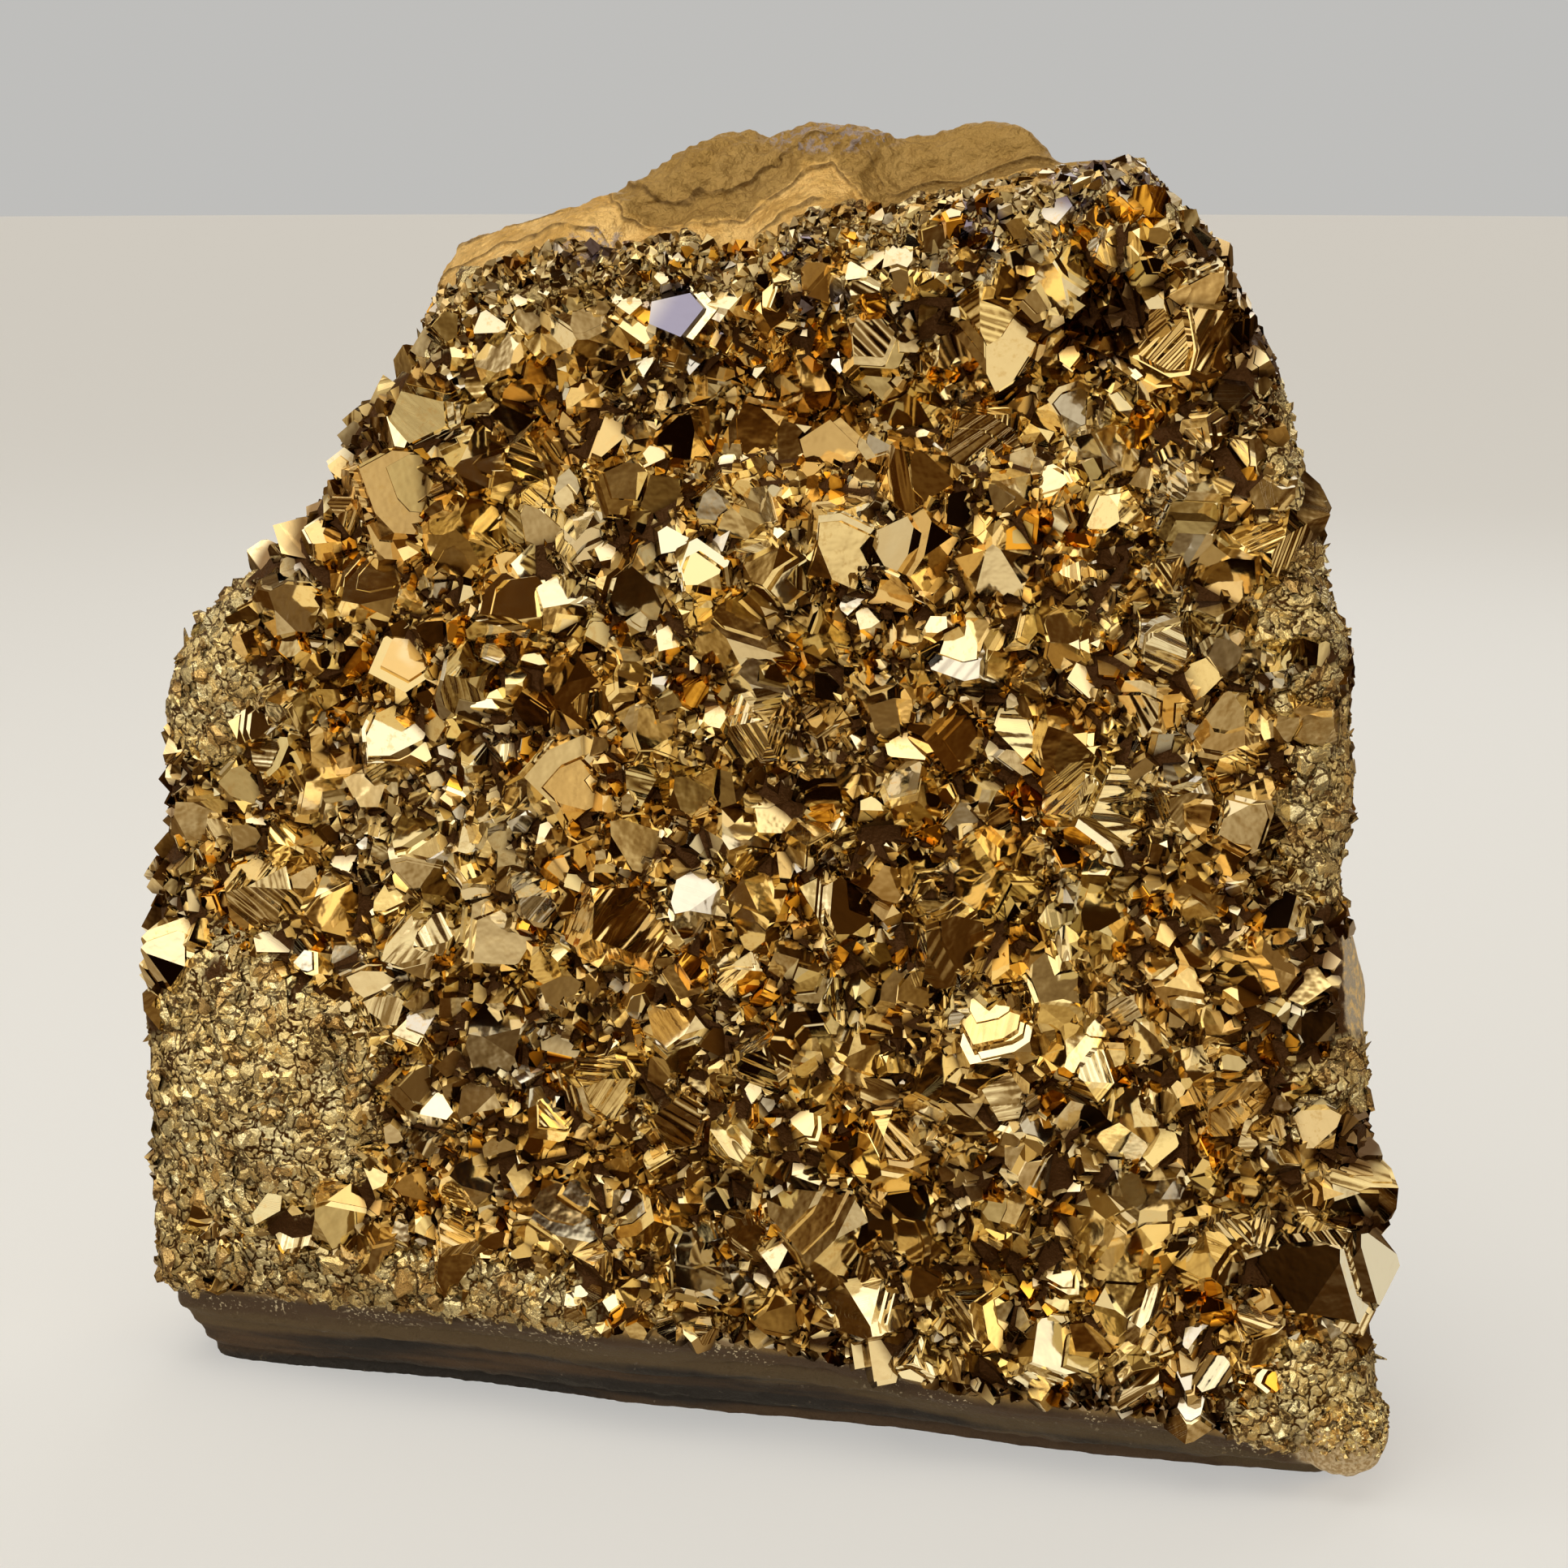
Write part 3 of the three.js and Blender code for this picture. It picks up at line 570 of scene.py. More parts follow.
def free_ground(roots, widths, taken, keep_off, own_share):
    """Picks in order the places that stand clear of the larger points and of each other."""
    larger = np.array([t[0] for t in taken])
    reach = keep_off * np.array([t[1] for t in taken])
    clear = np.ones(len(roots), bool)
    for start in range(0, len(roots), CHUNK):
        part = slice(start, start + CHUNK)
        gap = np.linalg.norm(roots[part, None, :] - larger[None], axis=2)
        clear[part] = np.all(gap > reach + own_share * widths[part, None], axis=1)
    cell = 2 * own_share * widths.max()
    cells = {}
    picked = []
    for i in np.flatnonzero(clear):
        root, width = roots[i], widths[i]
        a, b, c = (int(v) for v in np.floor(root / cell))
        near = [
            j for p in (a - 1, a, a + 1) for q in (b - 1, b, b + 1) for r in (c - 1, c, c + 1)
            for j in cells.get((p, q, r), ())
        ]
        if near:
            gap = np.linalg.norm(roots[near] - root, axis=1)
            if np.any(gap <= own_share * (widths[near] + width)):
                continue
        cells.setdefault((a, b, c), []).append(i)
        picked.append(i)
    return np.array(picked, int)


def places_on_skin(rng, corners, count, ground):
    """Places spread evenly over the part of the skin that is ground for points."""
    middles = corners.mean(axis=1)
    area = np.linalg.norm(np.cross(corners[:, 1] - corners[:, 0], corners[:, 2] - corners[:, 0]), axis=1)
    area *= ground(middles, np.zeros(len(middles)))
    chosen = np.searchsorted(np.cumsum(area), rng.random(count) * area.sum())
    u, v = rng.random((2, count, 1))
    folded = u + v > 1
    u, v = np.where(folded, 1 - u, u), np.where(folded, 1 - v, v)
    a, b, c = corners[chosen].transpose(1, 0, 2)
    return a + u * (b - a) + v * (c - a)


def scattered(rng, size, ground):
    """Further points of one size on free ground, as rows of root, width, axis, spin, form, lift."""
    least, most, keep_off, own_share, tilt, sink = SCATTERED[size]
    count = getattr(bpy.context.scene.druse_points, size + "_tries")
    widths = least + (most - least) * rng.random(count) ** SMALLER_OFTEN
    roots = places_on_skin(rng, growth().corners, count, ground)
    standing = ground(roots, widths)
    roots, widths = roots[standing], widths[standing]
    picked = free_ground(roots, widths, growth().taken, keep_off, own_share)
    roots, widths = roots[picked], widths[picked]
    axes = unit(skin_normal(roots) + tilt * rng.normal(0, TILT_UNIT, roots.shape))
    lift = ground_rise(roots) - (sink + RIM_SINK_MORE * rim(roots)) * widths
    return list(zip(roots, widths, axes, *spins_and_forms(rng, len(roots)), lift))


def spins_and_forms(rng, count):
    return rng.uniform(0, 2 * math.pi, count), rng.integers(0, FORM_NUMBERS, count)


# ---- crystal forms --------------------------------------------------------------------
def mesh_from(shape, name):
    """The finished bmesh as a mesh."""
    mesh = bpy.data.meshes.new(name)
    shape.to_mesh(mesh)
    shape.free()
    return mesh


def growth_layers(shape):
    """Room for what growing together carries over: the crystal's number, and where it grew."""
    shape.faces.layers.float.new("crystal")
    return shape.loops.layers.float_vector.new("growth")


def slanted(azimuth, angle):
    """The way a point's face looks that falls towards this azimuth."""
    level = math.sin(angle)
    return np.array([level * math.sin(azimuth), math.cos(angle), level * math.cos(azimuth)])


def form_planes(tip, large_drop, small_rise, sides, widen, root, angle=POINT_ANGLE):
    """A quartz point as planes (way, distance): six sides, three large and three small faces."""
    planes = []
    height = math.tan(angle)
    for k in range(6):
        azimuth = math.pi / 6 + k * math.pi / 3
        planes.append((np.array([math.sin(azimuth), 0, math.cos(azimuth)]), sides[k]))
    for k in range(3):
        large = slanted(math.pi / 2 + k * THIRD, angle)
        planes.append((large, large @ (tip[0], height - large_drop[k], tip[1])))
    for k in range(3):
        small = slanted(math.pi / 6 + k * THIRD, angle)
        planes.append((small, small @ (tip[0], height + small_rise[k], tip[1])))
    planes.append((np.array([0.0, -1.0, 0.0]), root))
    stretched = []
    for way, distance in planes:
        turned = way / (widen, 1, 1 / widen)
        length = np.linalg.norm(turned)
        stretched.append((turned / length, distance / length))
    return stretched


def form_mesh(name, planes):
    """The solid that the planes enclose, which remembers its own crystal and where it grew."""
    shape = bmesh.new()
    bmesh.ops.create_cube(shape, size=BLANK_SIZE)
    for way, distance in planes:
        cut = bmesh.ops.bisect_plane(
            shape, geom=shape.verts[:] + shape.edges[:] + shape.faces[:], dist=1e-6,
            plane_co=way * distance, plane_no=way, clear_outer=True,
        )
        rim_edges = [e for e in cut["geom_cut"] if isinstance(e, bmesh.types.BMEdge)]
        if rim_edges:
            bmesh.ops.contextual_create(shape, geom=rim_edges)
    bmesh.ops.recalc_face_normals(shape, faces=shape.faces)
    grown = growth_layers(shape)
    for face in shape.faces:
        for corner in face.loops:
            corner[grown] = corner.vert.co
    return mesh_from(shape, name)


def make_forms(frame_shapes):
    """The frame's forms, lopsided ones for the rest, plain tips for the tiny, low ones for grains."""
    rng = np.random.default_rng(SEED)
    even = (1.0,) * 6
    forms = [
        form_planes((x, z), (0, 0, 0), (rise - TIP,) * 3, even, widen, ROOT_LENGTH)
        for x, z, rise, widen in frame_shapes
    ]
    lopsided = [
        form_planes(
            rng.uniform(-0.22, 0.22, 2), rng.permutation([0.0, rng.uniform(0, 0.4), rng.uniform(0.3, 0.75)]),
            rng.uniform(0.05, 0.6, 3), rng.uniform(0.78, 1.08, 6), rng.uniform(0.8, 1.25), ROOT_LENGTH,
        )
        for _ in range(LOPSIDED_FORMS)
    ]
    plain = [
        form_planes(
            rng.uniform(-0.2, 0.2, 2), rng.uniform(0, 0.5, 3), rng.uniform(-0.1, 0.3, 3),
            NO_SIDES, rng.uniform(0.75, 1.3), SHORT_ROOT,
        )
        for _ in range(PLAIN_FORMS)
    ]
    low = [
        form_planes(
            rng.uniform(-0.3, 0.3, 2), rng.uniform(0, 0.3, 3), rng.uniform(-0.05, 0.3, 3),
            NO_SIDES, rng.uniform(0.7, 1.4), SHORT_ROOT, rng.uniform(0.45, 0.75),
        )
        for _ in range(LOW_FORMS)
    ]
    return {"frame": forms, "lopsided": lopsided, "plain": plain, "low": low}


def frame_of(axis, spin):
    """The turn of a point whose long axis, +Y at first, points along the axis."""
    upright = Vector((0, 1, 0))
    return upright.rotation_difference(Vector(axis)) @ Quaternion(upright, spin)


class Crystal:
    """One crystal: its form, half-width, turn, place and the tint of its film."""

    def __init__(self, planes, mesh, width, turn, place, tint):
        self.planes = planes
        self.mesh = mesh
        self.width = width
        self.turn = turn
        self.place = Vector(place)
        self.tint = tint

    def matrix(self):
        return Matrix.LocRotScale(self.place, self.turn, Vector((self.width,) * 3))

    def beside(self, rng, sizes, distances, drops):
        """A smaller one grown parallel, to one side of this one."""
        size = self.width * rng.uniform(*sizes)
        azimuth = rng.uniform(0, 2 * math.pi)
        off = self.width * rng.uniform(*distances)
        local = Vector((off * math.sin(azimuth), -self.width * rng.uniform(*drops), off * math.cos(azimuth)))
        return Crystal(self.planes, self.mesh, size, self.turn, self.place + self.turn @ local, self.tint)

    def terrace(self, rng, standing):
        """A parallel plate that stands a little proud of one of this one's large faces."""
        ratio = rng.uniform(*PLATE_SIZE)
        way, distance = self.planes[6 + rng.integers(0, 3)]
        way = Vector(way)
        across = way.orthogonal().normalized()
        across.rotate(Quaternion(way, rng.uniform(0, 2 * math.pi)))
        proud = self.width * (1 - ratio) * distance + rng.uniform(*standing)
        local = way * proud + across * self.width * rng.uniform(*PLATE_SHIFT)
        place = self.place + self.turn @ local
        return Crystal(self.planes, self.mesh, self.width * ratio, self.turn, place, self.tint)


# ---- growing pieces together ----------------------------------------------------------
def in_metres(vertices):
    return (vertices + SHIFT) * MM


def values_of(elements, key, width=1, kind=float):
    """One value, or a row of them, for each of a mesh's elements."""
    flat = np.empty(width * len(elements), kind)
    elements.foreach_get(key, flat)
    return flat if width == 1 else flat.reshape(-1, width)


def vertex_array(mesh):
    return values_of(mesh.vertices, "co", 3)


def set_attribute(mesh, name, kind, domain, values):
    layer = mesh.attributes.get(name) or mesh.attributes.new(name, kind, domain)
    key = "vector" if kind == "FLOAT_VECTOR" else "value"
    layer.data.foreach_set(key, np.ascontiguousarray(values, dtype=np.float32).ravel())


def solid_object(mesh, collection):
    solid = bpy.data.objects.new(mesh.name, mesh)
    collection.objects.link(solid)
    return solid


def combined(base_mesh, crystals, name, knob=None):
    """One closed mesh of the base and the crystals, sawn off flat at the foot."""
    scene = bpy.context.scene
    growing = bpy.data.collections.new("growing")
    scene.collection.children.link(growing)
    for number, crystal in enumerate(crystals, 1):
        mesh = crystal.mesh.copy()
        mesh.transform(crystal.matrix())
        mesh.attributes["crystal"].data.foreach_set("value", np.full(len(mesh.polygons), number, np.float32))
        solid_object(mesh, growing)
    if knob:
        solid_object(knob, growing)
    if base_mesh is None:
        first = growing.objects[0]
        growing.objects.unlink(first)
        scene.collection.objects.link(first)
    else:
        first = solid_object(base_mesh, scene.collection)
    block = bmesh.new()
    bmesh.ops.create_cube(block, size=SAW_SIZE)
    bmesh.ops.translate(block, verts=block.verts, vec=(0, 0, FOOT - SAW_SIZE / 2))
    saw = solid_object(mesh_from(block, "saw"), scene.collection)
    saw.hide_render = True
    for label, operation, kind, tool in (
        ("grown together", "UNION", "collection", growing), ("sawn foot", "DIFFERENCE", "object", saw),
    ):
        step = first.modifiers.new(label, "BOOLEAN")
        step.operation = operation
        step.operand_type = kind.upper()
        step.solver = "MANIFOLD"
        setattr(step, kind, tool)
    depsgraph = bpy.context.evaluated_depsgraph_get()
    whole = bpy.data.meshes.new_from_object(first.evaluated_get(depsgraph))
    whole.name = name
    tools = [*growing.objects, saw, first]
    used = [tool.data for tool in tools]
    for tool in tools:
        bpy.data.objects.remove(tool)
    for mesh in used:
        bpy.data.meshes.remove(mesh)
    bpy.data.collections.remove(growing)
    if len(whole.polygons) == 0:
        raise RuntimeError(f"{name} could not be grown together")
    return whole


def finish_piece(mesh, crystals, name, materials):
    """Writes what the finishes read, puts the mesh in its place and makes the piece."""
    ids = np.rint(values_of(mesh.attributes["crystal"].data, "value", 1, np.float32)).astype(int)
    tint = np.array([0.5] + [c.tint for c in crystals])[ids]
    width = np.array([1.0] + [c.width for c in crystals])[ids]
    grown = values_of(mesh.attributes["growth"].data, "vector", 3, np.float32)
    grown = grown * np.repeat(width, values_of(mesh.polygons, "loop_total", 1, int))[:, None]
    seed = np.random.default_rng(SEED + 1).random(len(crystals) + 1)
    set_attribute(mesh, "growth", "FLOAT_VECTOR", "CORNER", grown)
    set_attribute(mesh, "tint", "FLOAT", "FACE", tint)
    set_attribute(mesh, "crystal", "FLOAT", "FACE", seed[ids])
    # which small points carry the painted amber glint
    set_attribute(mesh, "amber", "FLOAT", "FACE", (seed[ids] * 13 % 1 > AMBER_GLINT_FROM) & (width < AMBER_GLINT_MOST))
    p = vertex_array(mesh)
    x, y, z = p.T
    behind = behind_face(x, y, z)
    at_points = {
        "below_brow": under_brow(x, z),
        "above_heel": over_heel(x, z),
        "behind": behind,
        "fine": ragged_fineness(p),
        "height": rock_field(p),
        "clump": clumps(p) + rim(p),
        "lilac": spots(x, z, LILAC_SPOTS),
    }
    if len(materials) > 1:
        level = abs(z - BARE_FLANK_Z)
        flank = smoothstep(level, BARE_FLANK_REACH + FLANK_FADE, BARE_FLANK_REACH - FLANK_FADE)
        across = smoothstep(behind, *FLANK_FRONT) * smoothstep(behind, *FLANK_BACK)
        at_points["flank"] = (x > RIGHT_SIDE) * flank * across
        at_points["knob"] = on_knob(p) * smoothstep(z, *KNOB_FADE)
        at_points["layers"] = brow_layers(p)
    for key, values in at_points.items():
        set_attribute(mesh, key, "FLOAT", "POINT", values)
    mesh.vertices.foreach_set("co", in_metres(p).ravel())
    mesh.materials.clear()
    for material in materials:
        mesh.materials.append(material)
    rock = ids == 0
    mesh.polygons.foreach_set("material_index", np.where(rock, len(materials) - 1, 0).astype(np.int32))
    mesh.polygons.foreach_set("use_smooth", rock)
    mesh.update()
    piece = bpy.data.objects.new(name, mesh)
    bpy.context.scene.collection.objects.link(piece)
    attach(piece, "root")
    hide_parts("amethyst_druse")
    return piece


# ---- the host rock --------------------------------------------------------------------
def noise_at(points, scale, octaves=3):
    """Cloudy noise around 0 over feature sizes of this many millimetres."""
    return np.array([noise.fractal(Vector(p) / scale, 1.0, 2.0, octaves) for p in points])


def brow_layers(p):
    """Height over the edge of the geode wall's lowest layer, in layers, on the bare brow."""
    x, y, z = p.T
    slope = (z - along_line(BROW_LINE, x) + y - face_depth(x, z)) * math.sqrt(0.5)
    right = smoothstep(x, CLEFT_FROM, CLEFT_TO)
    warp = noise_at(p, 14, 2) * (1.6 - right) + noise_at(p, 3.6, 3) * (0.9 - 0.6 * right)
    return (slope - along_line(LEDGE_LINE, x) + warp) / (LAYER + (RIGHT_LAYER - LAYER) * right)


def clumps(p):
    """Rounded clumps of grains in the fine patches, and the creases between them."""
    billows = abs(noise_at(p, CLUMP, 2))
    return np.minimum(billows, CLUMP_TOP) * CLUMP_HEIGHT / CLUMP_TOP * fineness(*p.T[[0, 2]])


def rock_relief(p):
    """How far the finished rock stands out of the frame's skin."""
    x, y, z = p.T
    covered = crust(p)
    lumps = noise_at(p, 2.6, 3)
    run = behind_face(x, y, z)
    brow = smoothstep(under_brow(x, z), 1.5, -1.5)
    layers = brow_layers(p)
    step = layers - np.floor(layers)
    ledge = (smoothstep(step, 0.86, 1.0) - step + 0.5) * smoothstep(layers, 2.0, 1.6)
    rough = smoothstep(layers, -0.1, 0.3) * smoothstep(x, 26, 8)
    behind = smoothstep(run, BACK_FROM, BACK_TO)
    coarse = noise_at(p, 9, 4)
    heel = 1 - smoothstep(over_heel(x, z), -1.5, 0.5)
    heel *= 1 - on_knob(p)
    banding = np.sin(z * 2.9 + 2.5 * noise_at(p * (1, 1, 2), 14, 2))
    relief = ground_rise(p) + covered * CRUST_LUMPS * lumps
    steep = LEDGE_STEEP[0] + LEDGE_STEEP[1] * smoothstep(x, CLEFT_FROM, CLEFT_TO)
    broken = steep * (ledge - 0.4) + BROW_LUMPS * lumps + BROW_GRIT * noise_at(p, 0.9, 2)
    broken += rough * (ROUGH_LUMPS * lumps + ROUGH_SWELLS * noise_at(p, 5, 3))
    relief += (1 - covered) * brow * (1 - behind) * broken
    relief += (1 - covered) * heel * (1 - behind) * (HEEL_BANDING * banding + HEEL_LUMPS * lumps)
    edges = abs(noise_at(p, 6, 3)) - 0.2
    return relief + behind * (BACK_BREAKS * coarse + BACK_EDGES * edges + BACK_LUMPS * lumps)


def finer(rock, wanted):
    """Cuts the edges that lie in a region in half."""
    rock.verts.ensure_lookup_table()
    inside = wanted(np.array([v.co for v in rock.verts]))
    edges = [e for e in rock.edges if inside[e.verts[0].index] and inside[e.verts[1].index]]
    bmesh.ops.subdivide_edges(rock, edges=edges, cuts=1, use_grid_fill=True)
    bmesh.ops.triangulate(rock, faces=rock.faces)
    rock.verts.index_update()


def bare(p):
    return crust(p) < BARE_CRUST


def brow_and_heel(p):
    x, y, z = p.T
    run = behind_face(x, y, z)
    above = (z > along_line(BROW_LINE, x) - FINER_MARGIN) & (run < FINER_BROW)
    return above | ((z < along_line(HEEL_LINE, x) + FINER_MARGIN) & (run < FINER_HEEL))


def brow_front(p):
    x, y, z = p.T
    return (z > along_line(BROW_LINE, x) - FINER_MARGIN) & (behind_face(x, y, z) < FINEST_BROW)


def rock_mesh():
    """The bare rock, finer where it shows, and its skin's triangles."""
    ball = bmesh.new()
    bmesh.ops.create_icosphere(ball, subdivisions=ROCK_SUBDIVISIONS, radius=1)
    rough = mesh_from(ball, "rock")
    skin = skin_towards(vertex_array(rough))
    rough.vertices.foreach_set("co", skin.ravel())
    corners = skin[values_of(rough.loops, "vertex_index", 1, int).reshape(-1, 3)]
    rock = bmesh.new()
    rock.from_mesh(rough)
    for region in (bare, brow_and_heel, brow_front):
        finer(rock, region)
    growth_layers(rock)
    rock.to_mesh(rough)
    rock.free()
    p = vertex_array(rough)
    for _ in range(SKIN_STEPS):
        p -= skin_normal(p) * rock_field(p)[:, None] * SKIN_STEP
    p += skin_normal(p) * rock_relief(p)[:, None]
    rough.vertices.foreach_set("co", p.ravel())
    return rough, corners


def fullness(way):
    """How much further than a ball's the knob's skin lies, each way from its middle."""
    return (np.sum(abs(way) ** 3, axis=1) ** (-1 / 3))[:, None]


def knob_mesh():
    """The rounded knob of bare rock at the right foot."""
    ball = bmesh.new()
    bmesh.ops.create_icosphere(ball, subdivisions=KNOB_SUBDIVISIONS, radius=1)
    growth_layers(ball)
    mesh = mesh_from(ball, "knob")
    way = vertex_array(mesh)
    p = KNOB_MIDDLE + KNOB_REACH * way * fullness(way)
    p += way * (KNOB_LUMPS * noise_at(p, 4, 3) + KNOB_GRIT * noise_at(p, 0.9, 2))[:, None]
    mesh.vertices.foreach_set("co", p.ravel())
    return mesh


# ---- finishes -------------------------------------------------------------------------
AMBER_GLINT_FROM = 0.91  # the share of the smaller points that get no painted amber glint
AMBER_GLINT_MOST = 2.6  # half-width of the largest points that may get the painted amber glint
# painted glint: an amber film that stands in for orange light bounced between the gold faces
AMBER_PAINTED_GLINT = (0.82, 0.42, 0.05)
YELLOW_FILM = (0.86, 0.67, 0.30)
AMBER_FILM = (0.78, 0.53, 0.19)
OLIVE_FILM = (0.57, 0.46, 0.22)
SILVER_FILM = (0.56, 0.52, 0.44)
GRAIN_GOLD = (0.97, 0.76, 0.34)
GRAIN_PALE = (1.0, 0.88, 0.50)
GRAIN_LILAC = (0.62, 0.57, 0.66)
GRAIN_BRONZE = (0.62, 0.38, 0.12)
HEEL_SPECKS = (0.16, 0.12, 0.08)
HEEL_SPARKLE = (0.8, 0.66, 0.4)
# the heel's tan band, dimmed in part as painted shade of the undercut band
HEEL_TAN = (0.115, 0.075, 0.03)
KNOB_SAND = (0.48, 0.32, 0.14)
KNOB_PALE = (0.76, 0.60, 0.36)
PALE_GRIT = (0.3, 0.26, 0.21)
PALE_SPRAY = (0.88, 0.61, 0.24)
OLIVE_SPRAY = (0.31, 0.19, 0.05)
# painted shadow along the steps of the brow's layers
LEDGE_PAINTED_SHADOW = (0.14, 0.075, 0.02)
LILAC_SPRAY = (0.34, 0.31, 0.36)
GAP_PAINTED_SHADE = (0.075, 0.028, 0.003)  # painted shade for the ground deep between the points, and for creases and cracks
FLANK_ROCK = (0.42, 0.36, 0.28)


class Value:
    """A node socket that arithmetic works on: an expression adds its Math nodes."""

    def __init__(self, finish, socket):
        self.finish = finish
        self.socket = socket

    def maths(self, operation, *values):
        return self.finish.node("ShaderNodeMath", {"operation": operation}, dict(enumerate(values)))

    def __add__(self, other):
        return self.maths("ADD", self, other)

    def __sub__(self, other):
        return self.maths("SUBTRACT", self, other)

    def __rsub__(self, other):
        return self.maths("SUBTRACT", other, self)

    def __mul__(self, other):
        return self.maths("MULTIPLY", self, other)

    __radd__ = __add__
    __rmul__ = __mul__

    def fraction(self):
        return self.maths("FRACT", self)

    def ramp(self, start, end):
        """0 up to start, 1 from end on, smooth between; start may be the larger."""
        return self.finish.node(
            "ShaderNodeMapRange", {"interpolation_type": "SMOOTHSTEP"},
            {"Value": self, "From Min": start, "From Max": end},
        )


class Finish:
    """A material, and the one way in which its nodes are added."""

    def __init__(self, name):
        self.material = bpy.data.materials.new(name)
        self.material.use_nodes = True
        self.tree = self.material.node_tree
        self.shader = self.tree.nodes["Principled BSDF"]

    @classmethod
    def of_tree(cls, tree):
        """The same for a tree that is no material's."""
        finish = cls.__new__(cls)
        finish.tree = tree
        return finish

    def node(self, kind, settings=None, values=None, output=0):
        """Adds a node: its type, its settings, and its sockets' values or links."""
        added = self.tree.nodes.new(kind)
        for key, setting in (settings or {}).items():
            if key == "stops":
                self.set_stops(added.color_ramp.elements, setting)
            else:
                setattr(added, key, setting)
        self.join(added, values or {})
        return None if output is None else Value(self, added.outputs[output])

    @staticmethod
    def set_stops(elements, stops):
        while len(elements) < len(stops):
            elements.new(1)
        for element, (position, shade) in zip(elements, stops):
            element.position = position
            element.color = (*shade, 1)

    def join(self, added, values):
        for key, value in values.items():
            socket = added.inputs[key]
            if isinstance(value, Value):
                self.tree.links.new(value.socket, socket)
            elif socket.type == "RGBA" and len(value) == 3:
                socket.default_value = (*value, 1)
            else:
                socket.default_value = value

    def shade(self, **values):
        self.join(self.shader, {key.replace("_", " "): value for key, value in values.items()})

    def attribute(self, name, output="Fac"):
        return self.node("ShaderNodeAttribute", {"attribute_name": name}, output=output)

    def place(self):
        """The place on the stone, in metres."""
        return self.node("ShaderNodeTexCoord", output="Object")

    def stretched(self, vector, scale):
        return self.node("ShaderNodeMapping", None, {"Vector": vector, "Scale": scale})

    def noise(self, vector, scale, detail=3.0, roughness=0.5, distortion=0.0):
        return self.node("ShaderNodeTexNoise", None, {
            "Vector": vector, "Scale": scale, "Detail": detail, "Roughness": roughness,
            "Distortion": distortion,
        })

    def warped(self, vector, scale, reach):
        """The place pushed about by noise, for ragged patterns."""
        push = self.node("ShaderNodeTexNoise", None, {"Vector": vector, "Scale": scale}, "Color")
        return self.node(
            "ShaderNodeVectorMath", {"operation": "MULTIPLY_ADD"}, {0: push, 1: (reach,) * 3, 2: vector}
        )

    def mixed(self, factor, one, other):
        return self.node(
            "ShaderNodeMix", {"data_type": "RGBA"}, {"Factor": factor, "A": one, "B": other}, "Result"
        )

    def bump(self, height, distance, strength=1.0, normal=None):
        values = {"Height": height, "Distance": distance, "Strength": strength}
        if normal is not None:
            values["Normal"] = normal
        return self.node("ShaderNodeBump", None, values)


def crystal_finish(settings):
    """Metal film on quartz: mirror faces with growth lines, a tint of its own on each crystal."""
    film = Finish("gold_aura_film")
    tint = film.attribute("tint")
    own = film.attribute("crystal")
    grown = film.attribute("growth", "Vector")
    place = film.place()
    cloud = film.noise(place, 130, 2)
    below_brow = film.attribute("below_brow")
    shade = film.mixed(tint.ramp(0.28, 0.02), tuple(settings.gold), tuple(settings.bronze))
    shade = film.mixed(tint.ramp(0.72, 0.98), shade, tuple(settings.pale))
    shade = film.mixed(cloud.ramp(0.58, 0.75) * 0.45, shade, tuple(settings.pale))
    shade = film.mixed(below_brow.ramp(12, 5) * 0.25, shade, tuple(settings.pale))
    hue = (own * 5).fraction()
    shade = film.mixed(hue.ramp(0.28, 0.1) * 0.8, shade, YELLOW_FILM)
    shade = film.mixed(hue.ramp(0.4, 0.44) * hue.ramp(0.53, 0.49) * 0.8, shade, AMBER_FILM)
    shade = film.mixed(hue.ramp(0.77, 0.82) * 0.85, shade, OLIVE_FILM)
    shade = film.mixed(hue.ramp(0.9, 0.92), shade, SILVER_FILM)
    mottles = film.noise(place, 800, 3, 0.7).ramp(0.5, 0.68) * (own * 3).fraction().ramp(0.3, 0.9)
    shade = film.mixed(mottles * 0.6, shade, tuple(settings.bronze))
    lilac = film.attribute("lilac").ramp(0.3, 0.7) * own.ramp(0.52, 0.58)
    shade = film.mixed(lilac * 0.88, shade, tuple(settings.lilac))
    # painted glint: the marked points take an amber film for the orange of bounced light
    shade = film.mixed(film.attribute("amber"), shade, AMBER_PAINTED_GLINT)
    # painted shade: the points darken towards the ground between them, less so under the brow
    painted_gap_shade = film.attribute("height").ramp(2.3, 0.9) * (1 - below_brow.ramp(15, 9) * 0.4)
    shade = film.mixed(painted_gap_shade * 0.9, shade, GAP_PAINTED_SHADE)
    level_lines = film.noise(film.stretched(grown, (0.06, 0.8, 0.06)), 1.0, 0)
    slope_lines = film.noise(film.stretched(grown, (0.8, 0.07, 0.1)), 1.0, 0)
    lines = film.node("ShaderNodeMix", {"data_type": "FLOAT"}, {
        "Factor": own.ramp(0.45, 0.55), "A": level_lines, "B": slope_lines,
    })
    stepped = (own * 7).fraction().ramp(0.72, 0.98)
    waves = film.bump(film.noise(place, 420, 2), 0.00008, 0.35)
    normal = film.bump((lines * 19).fraction() * stepped, 0.00005, 0.6, waves)
    film.shade(
        Base_Color=shade, Metallic=1.0, Normal=normal, Roughness=settings.roughness + cloud * 0.06
    )
    return film.material


